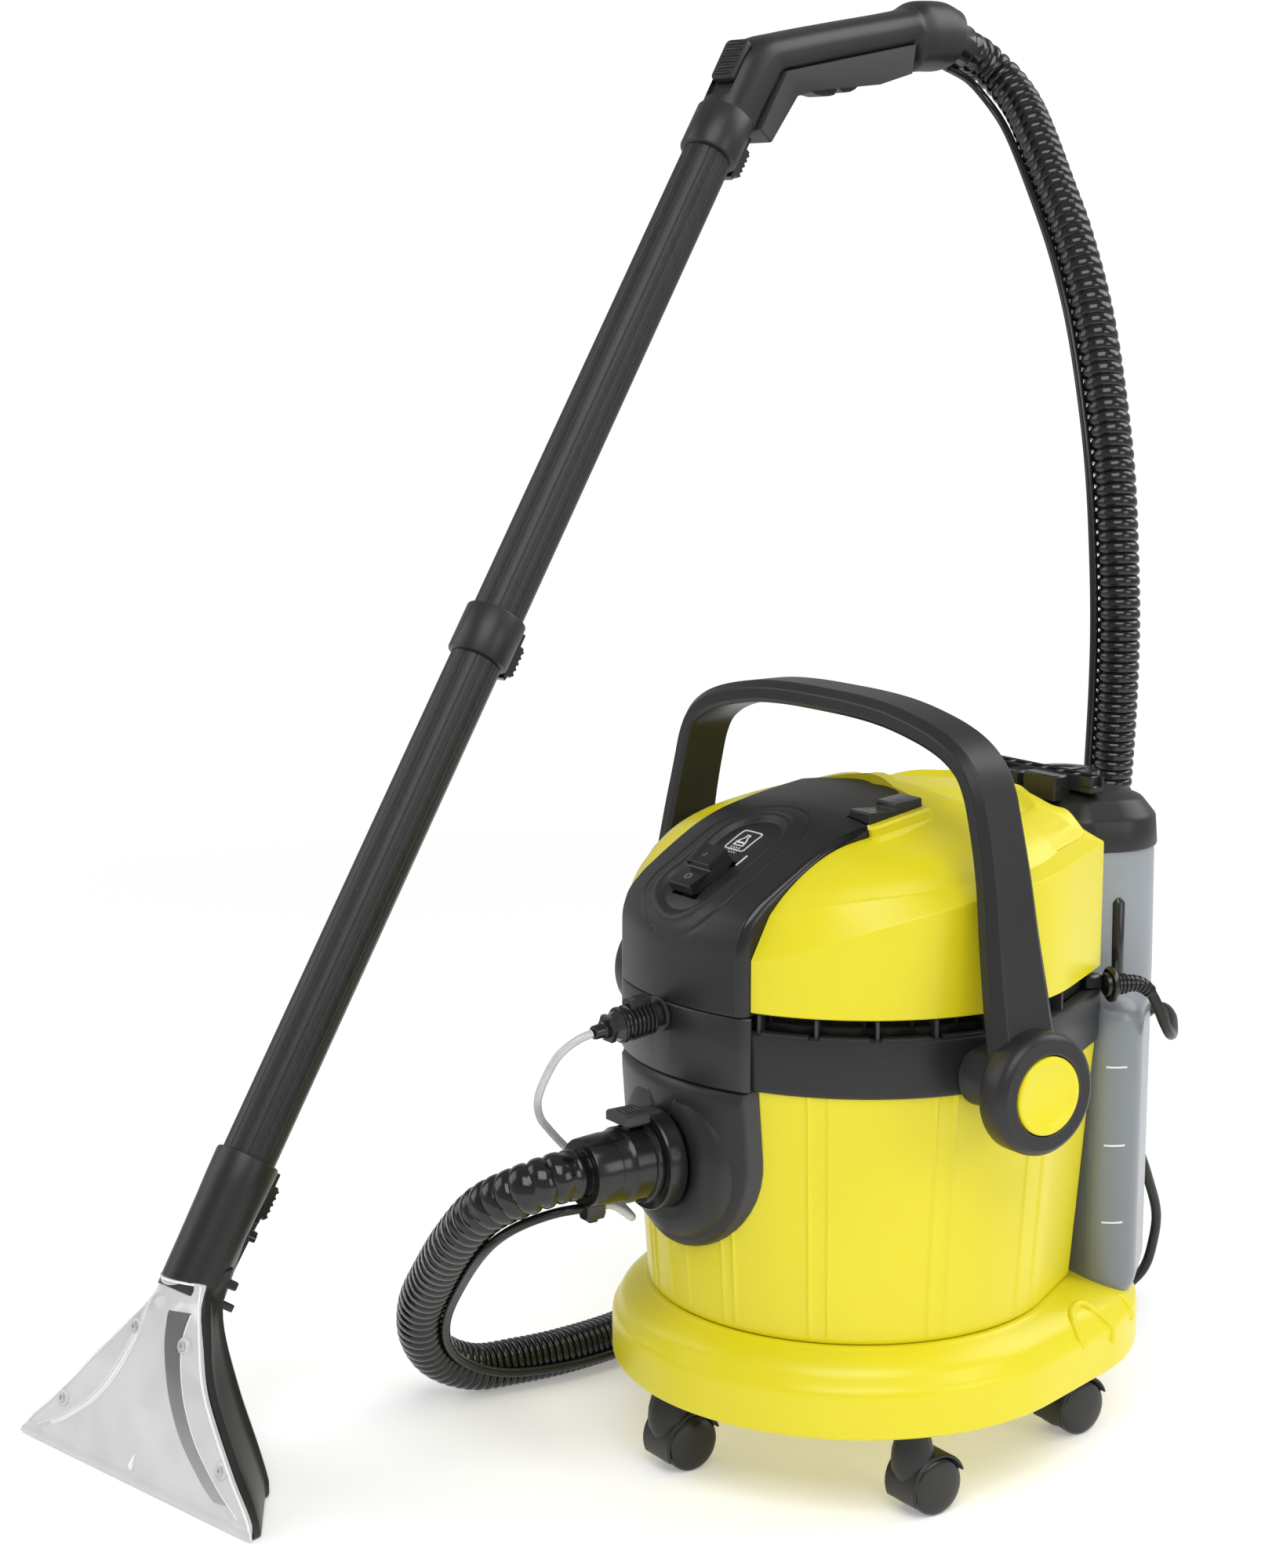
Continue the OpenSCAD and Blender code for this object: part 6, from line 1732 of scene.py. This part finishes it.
class ExtractorSizes(bpy.types.PropertyGroup):
    """Sizes and colours to change before the steps are run"""
    yellow: colour_property("Yellow", "Colour of the yellow mouldings", (0.78, 0.69, 0.012))
    yellow_deep: colour_property("Deep yellow", "Second tone of the yellow mouldings",
                                 (0.73, 0.635, 0.009))
    black: colour_property("Black", "Colour of the black mouldings", (0.0105, 0.0105, 0.011))
    black_soft: colour_property("Soft black", "Second tone of the black mouldings",
                                (0.018, 0.018, 0.0185))
    rib_pitch: bpy.props.FloatProperty(name="Rib pitch", description="Distance between the hose's ribs",
                                       default=0.0062, min=0.004, max=0.014, unit="LENGTH",
                                       subtype="DISTANCE")
    lens: bpy.props.FloatProperty(name="Lens", description="Focal length of the camera", default=62.95,
                                  min=20, max=200,
                                  unit="CAMERA")
    surround: bpy.props.FloatProperty(name="Surround",
                                      description="Brightness of the backdrop that the camera sees",
                                      default=1.06,
                                      min=0, max=4, subtype="FACTOR")


class EXTRACTOR_OT_finishes(bpy.types.Operator):
    """Makes the materials"""
    bl_idname = "extractor.finishes"
    bl_label = "Finishes"

    def execute(self, context):
        make_finishes()
        return {"FINISHED"}


class EXTRACTOR_OT_camera(bpy.types.Operator):
    """Places the camera"""
    bl_idname = "extractor.camera"
    bl_label = "Camera"

    def execute(self, context):
        make_camera()
        return {"FINISHED"}


class EXTRACTOR_OT_cords(bpy.types.Operator):
    """Builds the hose, water line, clear tube and mains lead"""
    bl_idname = "extractor.cords"
    bl_label = "Hose, lines and lead"

    def execute(self, context):
        make_cords()
        return {"FINISHED"}


class EXTRACTOR_OT_base(bpy.types.Operator):
    """Builds the base ring"""
    bl_idname = "extractor.base"
    bl_label = "Base ring"

    def execute(self, context):
        make_base_ring()
        return {"FINISHED"}


class EXTRACTOR_OT_drum(bpy.types.Operator):
    """Builds the drum and its rim band"""
    bl_idname = "extractor.drum"
    bl_label = "Drum and band"

    def execute(self, context):
        make_drum()
        make_rim_band()
        return {"FINISHED"}


class EXTRACTOR_OT_head(bpy.types.Operator):
    """Builds the head cover"""
    bl_idname = "extractor.head"
    bl_label = "Head cover"

    def execute(self, context):
        make_head_cover()
        return {"FINISHED"}


class EXTRACTOR_OT_console(bpy.types.Operator):
    """Builds the console and rockers"""
    bl_idname = "extractor.console"
    bl_label = "Console"

    def execute(self, context):
        make_console()
        make_rockers()
        make_console_mid()
        return {"FINISHED"}


class EXTRACTOR_OT_inlet(bpy.types.Operator):
    """Builds the inlet side"""
    bl_idname = "extractor.inlet"
    bl_label = "Inlet"

    def execute(self, context):
        make_inlet_housing()
        make_coupling()
        make_quick_connector()
        return {"FINISHED"}


class EXTRACTOR_OT_handle(bpy.types.Operator):
    """Builds the carrying handle"""
    bl_idname = "extractor.handle"
    bl_label = "Handle"

    def execute(self, context):
        make_handle()
        return {"FINISHED"}


class EXTRACTOR_OT_tank(bpy.types.Operator):
    """Builds the fresh water tank and lead gland"""
    bl_idname = "extractor.tank"
    bl_label = "Tank"

    def execute(self, context):
        make_tank()
        make_tank_top()
        make_gland()
        return {"FINISHED"}


class EXTRACTOR_OT_casters(bpy.types.Operator):
    """Builds the five casters"""
    bl_idname = "extractor.casters"
    bl_label = "Casters"

    def execute(self, context):
        make_casters()
        return {"FINISHED"}


class EXTRACTOR_OT_nozzle(bpy.types.Operator):
    """Builds the floor nozzle"""
    bl_idname = "extractor.nozzle"
    bl_label = "Nozzle"

    def execute(self, context):
        make_nozzle()
        return {"FINISHED"}


class EXTRACTOR_OT_wand(bpy.types.Operator):
    """Builds the tubes and the grip"""
    bl_idname = "extractor.wand"
    bl_label = "Wand"

    def execute(self, context):
        make_tubes()
        make_grip()
        return {"FINISHED"}


class EXTRACTOR_OT_latches(bpy.types.Operator):
    """Builds the tube latches"""
    bl_idname = "extractor.latches"
    bl_label = "Latches"

    def execute(self, context):
        for name, place in TUBE_LATCHES:
            make_tube_latch(name, place)
        return {"FINISHED"}


class EXTRACTOR_OT_inner(bpy.types.Operator):
    """Finishes the parts inside the machine"""
    bl_idname = "extractor.inner"
    bl_label = "Inner parts"

    def execute(self, context):
        finish_inner_parts()
        return {"FINISHED"}


class EXTRACTOR_OT_studio(bpy.types.Operator):
    """Builds the floor and the lights"""
    bl_idname = "extractor.studio"
    bl_label = "Studio"

    def execute(self, context):
        make_studio()
        return {"FINISHED"}


OPERATORS = [
    EXTRACTOR_OT_finishes,
    EXTRACTOR_OT_camera,
    EXTRACTOR_OT_cords,
    EXTRACTOR_OT_base,
    EXTRACTOR_OT_drum,
    EXTRACTOR_OT_head,
    EXTRACTOR_OT_console,
    EXTRACTOR_OT_inlet,
    EXTRACTOR_OT_handle,
    EXTRACTOR_OT_tank,
    EXTRACTOR_OT_casters,
    EXTRACTOR_OT_nozzle,
    EXTRACTOR_OT_wand,
    EXTRACTOR_OT_latches,
    EXTRACTOR_OT_inner,
    EXTRACTOR_OT_studio,
]


class EXTRACTOR_PT_pieces(bpy.types.Panel):
    """Lists the sizes and the steps that build the extractor"""
    bl_label = "Spot extractor"
    bl_idname = "EXTRACTOR_PT_pieces"
    bl_space_type = "VIEW_3D"
    bl_region_type = "UI"
    bl_category = "Extractor"

    def draw(self, context):
        sizes = context.scene.extractor_sizes
        for key in ("yellow", "yellow_deep", "black", "black_soft", "rib_pitch", "lens", "surround"):
            self.layout.prop(sizes, key)
        for operator in OPERATORS:
            self.layout.operator(operator.bl_idname)


CLASSES = [ExtractorSizes, *OPERATORS, EXTRACTOR_PT_pieces]


def register():
    for item in CLASSES:
        bpy.utils.register_class(item)
    bpy.types.Scene.extractor_sizes = bpy.props.PointerProperty(type=ExtractorSizes)


def unregister():
    del bpy.types.Scene.extractor_sizes
    for item in reversed(CLASSES):
        bpy.utils.unregister_class(item)


def main():
    register()
    for operator in OPERATORS:
        getattr(bpy.ops.extractor, operator.bl_idname.split(".")[1])()


if __name__ == "__main__":
    main()
